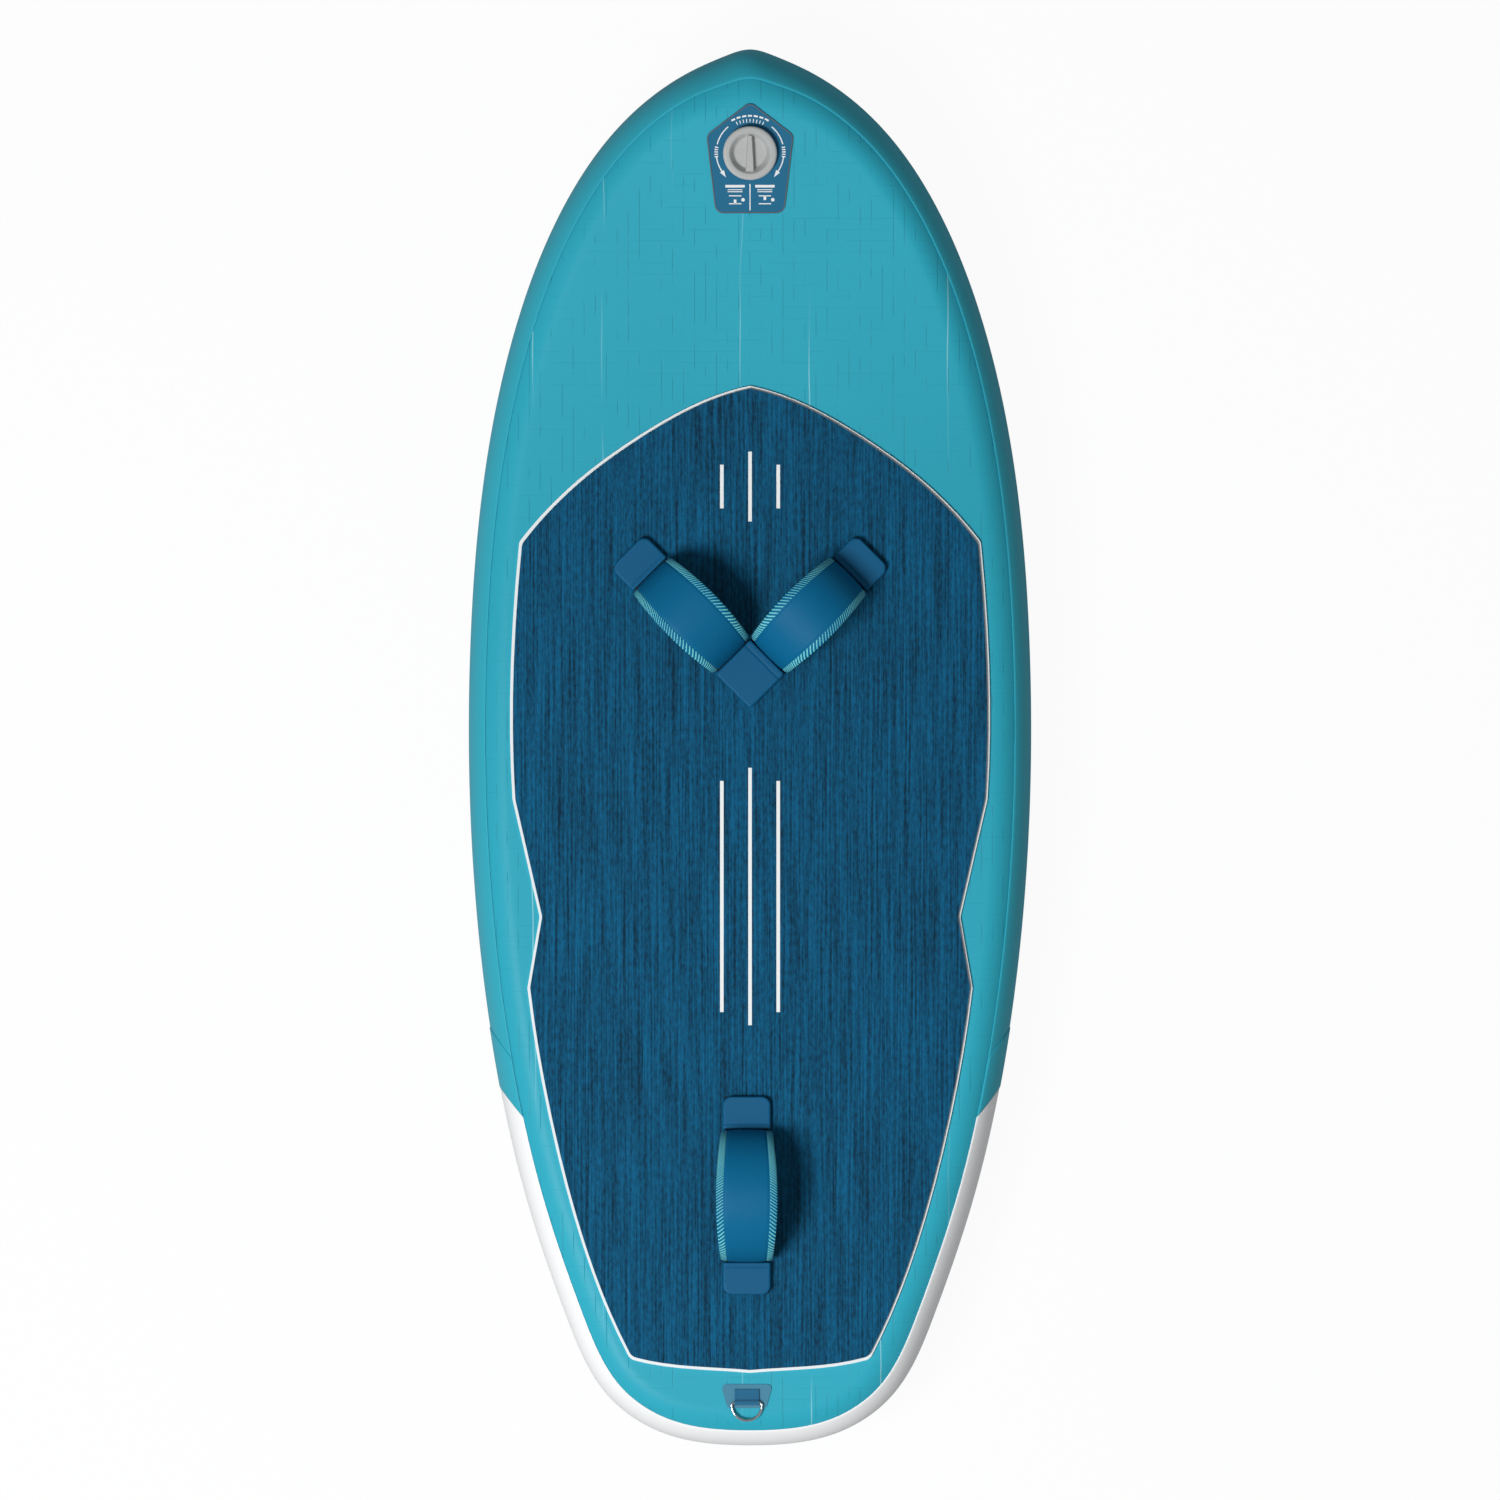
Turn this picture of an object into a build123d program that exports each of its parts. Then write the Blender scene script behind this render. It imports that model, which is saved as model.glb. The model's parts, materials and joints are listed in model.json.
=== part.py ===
from build123d import *
import os
from math import asin, atan2, cos, exp, hypot, radians, sin

os.makedirs("parts", exist_ok=True)

# Inflatable drop-stitch foil board with a deck pad, three foot straps, an inflation valve, a leash
# ring, a carry handle and a twin-track foil mount underneath.
# Millimetres. +Z is up through the deck, +Y runs to the nose and +X to the rider's right.
# The origin is below the middle of the board, on the ground that the foil mount and handle touch.

# Hull
BOARD_LENGTH = 1600.2
BOARD_WIDTH = 646.0
HULL_THICKNESS = 127.0
SHOULDER_WIDTH = 46.0        # rounded rail, from the rim in to the flat deck
NOSE_SHOULDER_EXTRA = 14.0   # the shoulder widens behind the pointed tip
NOSE_BLEND = 60.0            # and narrows again over this length of rim
LIFT_AHEAD_OF_ARCH = 104.5    # the curve begins this far ahead of the front straps' arches
LIFT_RADIUS = 2800.0         # the bottom curves up to the nose along this arc
PANEL_THICKNESS = 1.2
SIDEWALL_THICKNESS = 1.2
BAND_THICKNESS = 1.0
GLUE_GAP = 0.3
BAND_HALF_ANGLE = 55.6       # how far the outer rail tape wraps above and below the rim
SIDEWALL_HALF_ANGLE = 89.4   # the sidewall stops just short of the flat panels
BAND_JOINT_FROM_TAIL = 412.0  # teal and white tapes meet here on the rim
BAND_JOINT_SLANT = 37.0      # and this much further aft where they reach the deck
BAND_JOINT_HALF_WIDTH = 297.2  # half width of the rim beside that joint
TEAL_BAND_REACH = 0.8         # shares of the rim that the teal tape is cut from
WHITE_BAND_START = 0.64       # and the white one
THREAD_PITCH = 96.0          # the dense inner threads are drawn at this spacing
THREAD_RADIUS = 1.5
THREAD_END_GAP = 0.5
THREAD_EDGE_MARGIN = 30.0

# Rim outline, nose to tail: share of the half width, share of the half length
RIM_SHAPE = [
    (0.0, 1.0), (0.0836, 0.9914), (0.2245, 0.9658), (0.449, 0.8973), (0.654, 0.7831),
    (0.8276, 0.6117), (0.9474, 0.3834), (0.9938, 0.155), (1.0, 0.025), (0.9814, -0.1877),
    (0.9176, -0.4161), (0.7957, -0.6446), (0.6523, -0.816), (0.5022, -0.930),
    (0.3235, -0.980), (0.0, -1.0),
]

# Deck pad
PAD_FROM_NOSE = 386.0
PAD_FROM_TAIL = 87.0
PAD_FROM_RIM = 49.0
UNDERLAY_THICKNESS = 3.0
PAD_THICKNESS = 4.0
PAD_BORDER = 3.4
PAD_CORNER_RADIUS = 12.0
PAD_CORNER_REACH = 1.0       # a pad edge this close to an outline corner is rounded
SIGHT_WIDTH = 4.4
SIGHT_PITCH = 32.2
FRONT_SIGHT_START = 75.0
FRONT_SIGHT_LENGTH = 80.0
REAR_SIGHT_GAP = 79.0         # from the centre tab back to the long lines
REAR_SIGHT_END_GAP = 85.0     # from the rear strap forward to their ends
SIGHT_SIDE_STEP = 15.0       # the outer lines start and end this much later

# Foot straps
FRONT_STRAP_FROM_NOSE = 715.0
REAR_STRAP_FROM_TAIL = 290.0
REAR_STRAP_OFFSET = -3.7
FRONT_STRAP_ANGLE = 45.0
FRONT_ARCH_RADIUS = 60.5
REAR_ARCH_RADIUS = 70.0
ARCH_LEG = 12.0              # straight part of the strap below its arch
WEBBING_WIDTH = 50.0
WEBBING_THICKNESS = 2.5
WEBBING_FOLD_RADIUS = 6.0
WEBBING_FLAT = 36.0          # flat end that is screwed down
COVER_HALF_THICKNESS = 5.0
COVER_END_WIDTH = 56.0
COVER_MID_WIDTH = 70.0
COVER_SLOT_GAP = 0.3
COVER_START = 9.0            # cover begins this far above the pad
TAB_WIDTH = 54.6
TAB_LENGTH = 33.0
TAB_HEIGHT = 7.0
TAB_CORNER_RADIUS = 2.5
TAB_EDGE_RADIUS = 1.5
CENTRE_TAB_SIZE = 56.0
LEG_TO_CENTRE_TAB = 6.0
SCREW_PITCH = 24.0
SCREW_RADIUS = 2.9
SCREW_LENGTH = 12.0
SCREW_HEAD_RADIUS = 5.5
SCREW_HEAD_HEIGHT = 3.3
HEX_SOCKET_RADIUS = 2.3
HEX_SOCKET_DEPTH = 2.0
WASHER_RADIUS = 7.0
WASHER_THICKNESS = 1.2
BUSHING_RADIUS = 5.0
BUSHING_BORE_RADIUS = 3.0
BUSHING_FLOOR = 1.0
HOLE_CLEARANCE = 0.3
INSERT_PLATE_LENGTH = 62.0
INSERT_PLATE_WIDTH = 34.0
INSERT_PLATE_CORNER = 8.0
TAB_POCKET_GAP = 1.5

# Inflation valve, measured in its own frame: z is 0 on the deck and rises out of it
VALVE_FROM_NOSE = 121.0
VALVE_BORE_RADIUS = 22.0
VALVE_WALL = 2.5
FLANGE_OVER_BORE = 7.0
VALVE_FLANGE_RADIUS = VALVE_BORE_RADIUS + FLANGE_OVER_BORE
VALVE_FLANGE_THICKNESS = 2.5
GASKET_THICKNESS = 1.0
GASKET_FOOT_GAP = 0.15
VALVE_DEPTH = 32.0
SEAT_THICKNESS = 3.0
SEAT_STEP = 9.0               # the seat closes the bore in by this much
SEAT_RADIUS = VALVE_BORE_RADIUS - SEAT_STEP
NUT_OVER_BORE = 8.0
NUT_RADIUS = VALVE_BORE_RADIUS + NUT_OVER_BORE
NUT_HEIGHT = 8.0
NUT_NOTCHES = 6
NUT_NOTCH_WIDTH = 8.0
NUT_NOTCH_DEPTH = 3.0
SPIDER_TOP = -21.0
SPIDER_HEIGHT = 3.0
SPIDER_HUB_RADIUS = 5.0
SPIDER_RIB_WIDTH = 3.0
SPIDER_RIBS = 3
PIN_RADIUS = 3.0
PIN_CLEARANCE = 0.3
BUTTON_RADIUS = 7.0
BUTTON_HEIGHT = 3.0
BUTTON_TOP = -7.0
POPPET_OVER_SEAT = 4.0
POPPET_RADIUS = SEAT_RADIUS + POPPET_OVER_SEAT
POPPET_THICKNESS = 2.5
POPPET_SEAL_THICKNESS = 1.5
SEAL_FIT = 0.05
SPRING_RADIUS = 5.4
SPRING_WIRE_RADIUS = 0.6
SPRING_TURNS = 3.5
SPRING_END_GAP = 0.3
CAP_OVER_BORE = 8.7
CAP_RADIUS = VALVE_BORE_RADIUS + CAP_OVER_BORE
CAP_RIM_HEIGHT = 5.5
CAP_EDGE_RADIUS = 1.5
CAP_RIM_WIDTH = 6.5
CAP_DISH_RADIUS = CAP_RADIUS - CAP_RIM_WIDTH
CAP_DISH_SLOPE = 6.7
CAP_FLOOR_RADIUS = CAP_DISH_RADIUS - CAP_DISH_SLOPE
CAP_DISH_DEPTH = 8.0
CAP_WALL = 2.0
CAP_SKIRT_GAP = 0.5
CAP_SKIRT_DEPTH = 8.0
CAP_BAR_WIDTH = 9.0
CAP_BAR_LENGTH = 43.0
CAP_BAR_TOP_GAP = 0.5        # the grip bar ends this far below the rim
CAP_SEAL_THICKNESS = 1.5
CAP_SEAL_WIDTH = 3.0
PATCH_THICKNESS = 1.2
VALVE_PATCH_TOP = 57.5       # apex, ahead of the valve axis
VALVE_PATCH_SHOULDER = 20.0
VALVE_PATCH_BOTTOM = 69.0    # straight end, behind the valve axis
VALVE_PATCH_HALF_WIDTH = 49.5
VALVE_PATCH_HALF_END = 39.0
VALVE_PATCH_CORNER = 10.0

# Leash ring
RING_FROM_TAIL = 53.0
RING_OFFSET = -3.7
RING_WIRE_RADIUS = 1.5
RING_HALF_WIDTH = 17.2
RING_CORNER_RADIUS = 3.0
LOOP_WIDTH = 28.0
LOOP_LAYER = 1.2
LOOP_CLEARANCE = 0.4
LOOP_TAIL = 12.0
LEASH_PATCH_THICKNESS = 1.5
LEASH_PATCH_AHEAD = 20.8
LEASH_PATCH_BEHIND = 6.5
LEASH_PATCH_HALF_WIDTH = 29.8
LEASH_PATCH_HALF_END = 22.0
LEASH_PATCH_CORNER = 5.0

# Foil mount
FOIL_BEHIND_CENTRE = 400.0
FOIL_PLATE_LENGTH = 380.0
FOIL_PLATE_WIDTH = 200.0
FOIL_PLATE_THICKNESS = 20.0
FOIL_PLATE_CORNER = 40.0
TRACK_SPACING = 90.0
TRACK_LENGTH = 320.0
TRACK_WIDTH = 26.0
TRACK_HEIGHT = 14.0
TRACK_FIT = 0.1
SLOT_WIDTH = 9.0
SLOT_LIP = 4.0
CAVITY_WIDTH = 19.0
CAVITY_HEIGHT = 7.0
NOTCH_LENGTH = 24.0
TRACK_END_WALL = 3.0
NUT_SPACING = 165.0
NUT_LENGTH = 20.0
NUT_GAP = 0.3                # round each sliding nut
NUT_HOLE_RADIUS = 3.4        # tapping size of an M8 thread

# Carry handle under the hull
HANDLE_FROM_LIFT = 190.0     # behind the start of the nose curve
HANDLE_GRIP_LENGTH = 110.0
HANDLE_GRIP_WIDTH = 38.0
HANDLE_GRIP_HEIGHT = 11.0
HANDLE_GRIP_EDGE = 3.5
HANDLE_WEBBING_WIDTH = 30.0
HANDLE_WEBBING_THICKNESS = 2.5
HANDLE_SLOPE_LENGTH = 22.0
HANDLE_FLAT_LENGTH = 34.0
HANDLE_BEND_RADIUS = 9.0
HANDLE_PATCH_LENGTH = 60.0
HANDLE_PATCH_WIDTH = 70.0
HANDLE_PATCH_RADIUS = 14.0

# Worked out from the sizes above
HALF_LENGTH = BOARD_LENGTH / 2
HALF_WIDTH = BOARD_WIDTH / 2
HALF_THICKNESS = HULL_THICKNESS / 2
MID_Z = FOIL_PLATE_THICKNESS + HALF_THICKNESS
BOTTOM_Z = FOIL_PLATE_THICKNESS
DECK_Z = FOIL_PLATE_THICKNESS + HULL_THICKNESS
PAD_STACK = UNDERLAY_THICKNESS + PAD_THICKNESS
PAD_Z = DECK_Z + PAD_STACK
FRONT_STRAP_Y = HALF_LENGTH - FRONT_STRAP_FROM_NOSE
REAR_STRAP_Y = -HALF_LENGTH + REAR_STRAP_FROM_TAIL
LIFT_START = FRONT_STRAP_Y + FRONT_ARCH_RADIUS + LIFT_AHEAD_OF_ARCH
CENTRE_LEG = CENTRE_TAB_SIZE / 2 + LEG_TO_CENTRE_TAB
FOIL_Y = -FOIL_BEHIND_CENTRE
HANDLE_Y = LIFT_START - HANDLE_FROM_LIFT
RIM_STATIONS = 48
STATION_CROWDING = 1.15
FAR = 4 * BOARD_LENGTH


def save(name, solids):
    """Write one node: a single solid, or a group of like solids."""
    solids = solids if isinstance(solids, list) else [solids]
    export_step(Compound(children=[Solid(s.solid().wrapped) for s in solids]), f"parts/{name}.step")


def box(x_range, y_range, z_range):
    """A plain box between the given low and high values."""
    spans = (x_range, y_range, z_range)
    sizes = [high - low for low, high in spans]
    return Pos(*[(low + high) / 2 for low, high in spans]) * Box(*sizes)


def tube(outer, inner, low, high):
    """A round tube, or a disc where inner is 0, standing on Z."""
    body = Pos(0, 0, (low + high) / 2) * Cylinder(outer, high - low)
    if inner:
        body -= Pos(0, 0, (low + high) / 2) * Cylinder(inner, 2 * (high - low))
    return body


def upright(solid):
    """The vertical edges of a solid."""
    return solid.edges().filter_by(Axis.Z)


def rounded_slab(length_x, length_y, low, high, corner):
    """A slab with rounded vertical corners, centred on Z."""
    slab = Pos(0, 0, (low + high) / 2) * Box(length_x, length_y, high - low)
    return fillet(upright(slab), corner)


# ---- Hull shape ----

def flat_length(y):
    """Length along the unrolled board for a plan distance y on the mid surface."""
    if y <= LIFT_START:
        return y
    return LIFT_START + LIFT_RADIUS * asin((y - LIFT_START) / LIFT_RADIUS)


def bend(x, y, height):
    """Point at unrolled position x, y and a height above the mid surface, with the nose curve."""
    if y <= LIFT_START:
        return Vector(x, y, MID_Z + height)
    angle = (y - LIFT_START) / LIFT_RADIUS
    reach = LIFT_RADIUS - height
    return Vector(x, LIFT_START + reach * sin(angle), MID_Z + LIFT_RADIUS - reach * cos(angle))


def surface_z(y, height):
    """Level of the surface that lies height above the mid surface, at plan distance y."""
    if y <= LIFT_START:
        return MID_Z + height
    reach = LIFT_RADIUS - height
    return MID_Z + LIFT_RADIUS - reach * cos(asin((y - LIFT_START) / reach))


NOSE_TILT = asin((HALF_LENGTH - LIFT_START) / LIFT_RADIUS)
NOSE_SHOULDER = SHOULDER_WIDTH + NOSE_SHOULDER_EXTRA
NOSE_OVERREACH = (
    hypot(NOSE_SHOULDER * cos(NOSE_TILT), HALF_THICKNESS * sin(NOSE_TILT))
    - NOSE_SHOULDER * cos(NOSE_TILT)
)


def rim_curve():
    """Closed outline of the rim, unrolled, from the nose down the right side and back."""
    right = []
    for across, along in RIM_SHAPE:
        reach = HALF_LENGTH - NOSE_OVERREACH if along > 0 else HALF_LENGTH
        right.append((across * HALF_WIDTH, flat_length(along * reach)))
    left = [(-x, y) for x, y in right[-2:0:-1]]
    return Spline(*right, *left, periodic=True)


RIM = rim_curve()


def rail_station(share):
    """Rim point and deck-edge point, nose (0) to tail (1); negative shares are the left side.

    The deck edge lies one shoulder width in from the rim, square to it. Near the tip the direction
    is eased towards straight aft, so that the edge rounds the point.
    """
    side = -1 if share < 0 else 1
    share = abs(share)
    rim = RIM @ (share / 2)
    heading = RIM % (share / 2)
    rim_x = 0 if share in (0, 1) else rim.X
    ease = exp(-(share * RIM.length / 2 / NOSE_BLEND) ** 2)
    turn = atan2(-heading.Y, heading.X) * (1 - ease)
    width = SHOULDER_WIDTH + NOSE_SHOULDER_EXTRA * ease
    edge_x = 0 if share in (0, 1) else rim_x - width * sin(turn)
    edge = Vector(side * edge_x, rim.Y - width * cos(turn))
    return Vector(side * rim_x, rim.Y), edge


def rail_section(share, half_angle, inset, thickness):
    """Cross section of a strip on the rounded rail: a quarter-ellipse pair about the deck edge.

    A point at angle a lies cos a of the way from the deck edge to the rim, and sin a of the half
    thickness above or below the mid surface.
    """
    rim, edge = rail_station(share)
    out = rim - edge

    def face_line(depth, angles):
        scale = 1 - depth / out.length
        height = HALF_THICKNESS + BAND_THICKNESS + GLUE_GAP - depth
        points = []
        for a in angles:
            across = edge + out * (scale * cos(a))
            points.append(bend(across.X, across.Y, height * sin(a)))
        return Spline(*points)

    steps = 8
    angles = [radians(half_angle) * (2 * k / steps - 1) for k in range(steps + 1)]
    outer = face_line(inset, angles)
    inner = face_line(inset + thickness, angles[::-1])
    return Wire([outer, Line(outer @ 1, inner @ 0), inner, Line(inner @ 1, outer @ 0)])


def rail_strip(shares, half_angle, inset, thickness):
    """A strip of rail skin through the sections at the given shares."""
    return Solid.make_loft([rail_section(s, half_angle, inset, thickness) for s in shares])


def station_shares(first, last, count, crowd):
    """Shares from first to last, crowded towards first by the power crowd."""
    return [first + (last - first) * (i / count) ** crowd for i in range(count + 1)]


NOSE_TO_TAIL = station_shares(0, 1, RIM_STATIONS, STATION_CROWDING)


def bent_slab(low, high):
    """Layer between two heights above the mid surface, flat aft and curved up at the nose."""
    end_angle = asin(HALF_LENGTH / LIFT_RADIUS)
    start = -HALF_LENGTH

    def arc(height):
        centre = Vector(0, LIFT_START, MID_Z + LIFT_RADIUS)
        reach = LIFT_RADIUS - height
        points = []
        for share in (0, 0.5, 1):
            angle = end_angle * share
            points.append(centre + Vector(0, reach * sin(angle), -reach * cos(angle)))
        return points

    lower, upper = arc(low), arc(high)
    edges = [
        Line((0, start, MID_Z + low), lower[0]),
        ThreePointArc(*lower),
        Line(lower[2], upper[2]),
        ThreePointArc(upper[2], upper[1], upper[0]),
        Line(upper[0], (0, start, MID_Z + high)),
        Line((0, start, MID_Z + high), (0, start, MID_Z + low)),
    ]
    return extrude(Face(Wire(edges)), amount=BOARD_WIDTH, dir=(1, 0, 0), both=True)


def deck_edge_prism(height):
    """Upright prism round the flat panel at the given height."""
    edge = [rail_station(s)[1] for s in NOSE_TO_TAIL]
    right = [bend(p.X, p.Y, height) for p in edge]
    points = [(p.X, p.Y) for p in right] + [(-p.X, p.Y) for p in right[-2:0:-1]]
    return extrude(Face(Wire([Spline(*points, periodic=True)])), amount=FAR, both=True)


def valve_plane():
    """Frame on the deck at the valve: z is square to the tilted deck."""
    y = HALF_LENGTH - VALVE_FROM_NOSE
    tilt = asin((y - LIFT_START) / (LIFT_RADIUS - HALF_THICKNESS))
    origin = (0, y, surface_z(y, HALF_THICKNESS))
    return Plane(origin=origin, x_dir=(1, 0, 0), z_dir=(0, -sin(tilt), cos(tilt)))


VALVE = valve_plane().location
VALVE_TUBE_RADIUS = VALVE_BORE_RADIUS + VALVE_WALL


def hull_panels():
    """Flat upper and lower skins; the upper one has the valve hole."""
    top = bent_slab(HALF_THICKNESS - PANEL_THICKNESS, HALF_THICKNESS) & deck_edge_prism(HALF_THICKNESS)
    hole = tube(VALVE_TUBE_RADIUS + HOLE_CLEARANCE, 0, -NUT_HEIGHT, NUT_HEIGHT)
    save("deck_panel", top - VALVE * hole)
    bottom = bent_slab(-HALF_THICKNESS, PANEL_THICKNESS - HALF_THICKNESS)
    save("bottom_panel", bottom & deck_edge_prism(-HALF_THICKNESS))


def sidewalls():
    """Inner side skins, one from nose to tail on each side."""
    inset = BAND_THICKNESS + GLUE_GAP
    for name, side in (("sidewall_right", 1), ("sidewall_left", -1)):
        strip = rail_strip(NOSE_TO_TAIL, SIDEWALL_HALF_ANGLE, inset, SIDEWALL_THICKNESS)
        save(name, strip if side > 0 else mirror(strip, about=Plane.YZ))


def band_cutter(shift):
    """Upright prism of everything ahead of the slanted tape joint, moved forward by shift."""
    joint = -HALF_LENGTH + BAND_JOINT_FROM_TAIL + shift
    inner = SHOULDER_WIDTH * (1 - cos(radians(BAND_HALF_ANGLE)))
    slope = BAND_JOINT_SLANT / inner
    rim_x = BAND_JOINT_HALF_WIDTH
    reach = SHOULDER_WIDTH
    points = [
        (0, joint - slope * reach), (rim_x - reach, joint - slope * reach),
        (rim_x + reach, joint + slope * reach), (rim_x + reach, FAR), (0, FAR),
    ]
    half = extrude(make_face(Polyline(*points, close=True)), amount=FAR, both=True)
    return half + mirror(half, about=Plane.YZ)


def rail_bands():
    """Outer rail tapes: teal round the nose, white round the tail, meeting at a slant."""
    ahead = [s for s in NOSE_TO_TAIL if s < TEAL_BAND_REACH]
    around_nose = [-s for s in ahead[:0:-1]] + ahead
    front = rail_strip(around_nose, BAND_HALF_ANGLE, 0, BAND_THICKNESS)
    save("rail_band", front & band_cutter(GLUE_GAP))
    behind = [s for s in NOSE_TO_TAIL if s > WHITE_BAND_START]
    around_tail = behind + [-s for s in behind[-2::-1]]
    tail = rail_strip(around_tail, BAND_HALF_ANGLE, 0, BAND_THICKNESS)
    save("tail_band", tail - band_cutter(0))


def half_width_at(y):
    """Half width of the flat bottom panel at plan distance y."""
    edge = [rail_station(s)[1] for s in NOSE_TO_TAIL]
    for ahead, behind in zip(edge, edge[1:]):
        if behind.Y <= y <= ahead.Y:
            share = (y - behind.Y) / (ahead.Y - behind.Y)
            return behind.X + share * (ahead.X - behind.X)
    return 0


def drop_stitch_threads():
    """Threads that hold the two panels parallel, clear of the valve."""
    height = HALF_THICKNESS - PANEL_THICKNESS - THREAD_END_GAP
    valve_y = HALF_LENGTH - VALVE_FROM_NOSE
    threads = []
    rows = int(HALF_LENGTH / THREAD_PITCH)
    columns = int(HALF_WIDTH / THREAD_PITCH) + 1
    for row in range(-rows, rows + 1):
        for column in range(-columns, columns):
            x, y = (column + 0.5) * THREAD_PITCH, row * THREAD_PITCH
            if abs(x) > half_width_at(y) - THREAD_EDGE_MARGIN:
                continue
            if hypot(x, y - valve_y) < NUT_RADIUS + THREAD_EDGE_MARGIN:
                continue
            threads.append(Pos(x, y) * tube(THREAD_RADIUS, 0, surface_z(y, -height), surface_z(y, height)))
    save("drop_stitch_threads", threads)


# ---- Foot straps ----

def strap_frames():
    """Each strap's name, middle, direction, arch radius and its two ends.

    An end is (leg distance to the fitting's middle, lift of the flat end). The fittings lie along
    the strap; the two front straps share the middle one, the right strap on top.
    """
    outer = WEBBING_FOLD_RADIUS + TAB_LENGTH / 2
    reach = FRONT_ARCH_RADIUS + CENTRE_LEG
    turn = radians(FRONT_STRAP_ANGLE)
    dx, dy = reach * cos(turn), reach * sin(turn)
    return [
        ("left", Vector(-dx, FRONT_STRAP_Y + dy), 180 - FRONT_STRAP_ANGLE,
         FRONT_ARCH_RADIUS, (CENTRE_LEG, 0), (outer, 0)),
        ("right", Vector(dx, FRONT_STRAP_Y + dy), FRONT_STRAP_ANGLE,
         FRONT_ARCH_RADIUS, (CENTRE_LEG, WEBBING_THICKNESS), (outer, 0)),
        ("rear", Vector(REAR_STRAP_OFFSET, REAR_STRAP_Y), 90,
         REAR_ARCH_RADIUS, (outer, 0), (outer, 0)),
    ]


STRAPS = strap_frames()


def strap_place(middle, direction):
    """Location of a strap's own frame: x along the strap, z up from the pad."""
    return Pos(middle.X, middle.Y, PAD_Z) * Rot(0, 0, direction)


def fittings():
    """Every screwed-down strap end: name, location of its middle, layers of webbing."""
    found = []
    for name, middle, direction, radius, near, far in STRAPS:
        place = strap_place(middle, direction)
        if name == "left":
            found.append(("centre", place * Pos(-radius - near[0], 0), 2))
        if name == "rear":
            found.append(("rear_back", place * Pos(-radius - near[0], 0), 1))
        end_name = "rear_front" if name == "rear" else name
        found.append((end_name, place * Pos(radius + far[0], 0), 1))
    return found


FITTINGS = fittings()


def strap_path(radius, near, far):
    """Centre line of the webbing: flat end, fold, leg, half-round arch, leg, fold, flat end."""
    half = WEBBING_THICKNESS / 2
    top = ARCH_LEG + radius + half
    near_end = radius + near[0] + WEBBING_WIDTH / 2
    if near[0] != CENTRE_LEG:
        near_end = radius + WEBBING_FLAT + WEBBING_FOLD_RADIUS
    points = [
        (-near_end, 0, half + near[1]), (-radius, 0, half + near[1]), (-radius, 0, top),
        (radius, 0, top), (radius, 0, half + far[1]),
        (radius + WEBBING_FLAT + WEBBING_FOLD_RADIUS, 0, half + far[1]),
    ]
    bend_radius = radius - WEBBING_THICKNESS / 5
    radii = [WEBBING_FOLD_RADIUS, bend_radius, bend_radius, WEBBING_FOLD_RADIUS]
    return FilletPolyline(*points, radius=radii)


def swept_band(path, thickness, width):
    """A flat band of the given thickness and width along a path in the XZ plane."""
    start = Plane(origin=path @ 0, x_dir=(0, 1, 0), z_dir=path % 0)
    return sweep(start * Rectangle(width, thickness), path=path)


def screw_spots(place):
    """Locations of the two screws of a fitting, across the strap."""
    return [place * Pos(0, side * SCREW_PITCH / 2) for side in (-1, 1)]


def strap_webbings():
    """Screwed-down webbing inside each strap."""
    for name, middle, direction, radius, near, far in STRAPS:
        band = swept_band(strap_path(radius, near, far), WEBBING_THICKNESS, WEBBING_WIDTH)
        band = strap_place(middle, direction) * band
        for _, place, _ in FITTINGS:
            for spot in screw_spots(place):
                hole = tube(SCREW_RADIUS + HOLE_CLEARANCE, 0, -PAD_STACK, 2 * PAD_STACK)
                band -= spot * hole
        save(f"strap_webbing_{name}", band)


def strap_covers():
    """Padded sleeves over the arches, barrel shaped from above, with a slot for the webbing."""
    for name, middle, direction, radius, near, far in STRAPS:
        half = WEBBING_THICKNESS / 2
        top = ARCH_LEG + radius + half
        points = [(-radius, 0, COVER_START), (-radius, 0, top), (radius, 0, top), (radius, 0, COVER_START)]
        path = FilletPolyline(*points, radius=radius - WEBBING_THICKNESS / 5)
        sleeve = swept_band(path, 2 * COVER_HALF_THICKNESS, 2 * COVER_MID_WIDTH)
        slot = swept_band(
            path, WEBBING_THICKNESS + 2 * COVER_SLOT_GAP, WEBBING_WIDTH + 2 * COVER_SLOT_GAP)
        end_x = radius + 2 * COVER_HALF_THICKNESS
        side = COVER_END_WIDTH / 2
        barrel = [
            ThreePointArc((-end_x, side), (0, COVER_MID_WIDTH / 2), (end_x, side)),
            Line((end_x, side), (end_x, -side)),
            ThreePointArc((end_x, -side), (0, -COVER_MID_WIDTH / 2), (-end_x, -side)),
            Line((-end_x, -side), (-end_x, side)),
        ]
        mould = extrude(Face(Wire(barrel)), amount=2 * (radius + ARCH_LEG), dir=(0, 0, 1))
        save(f"strap_cover_{name}", strap_place(middle, direction) * ((sleeve & mould) - slot))


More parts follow.
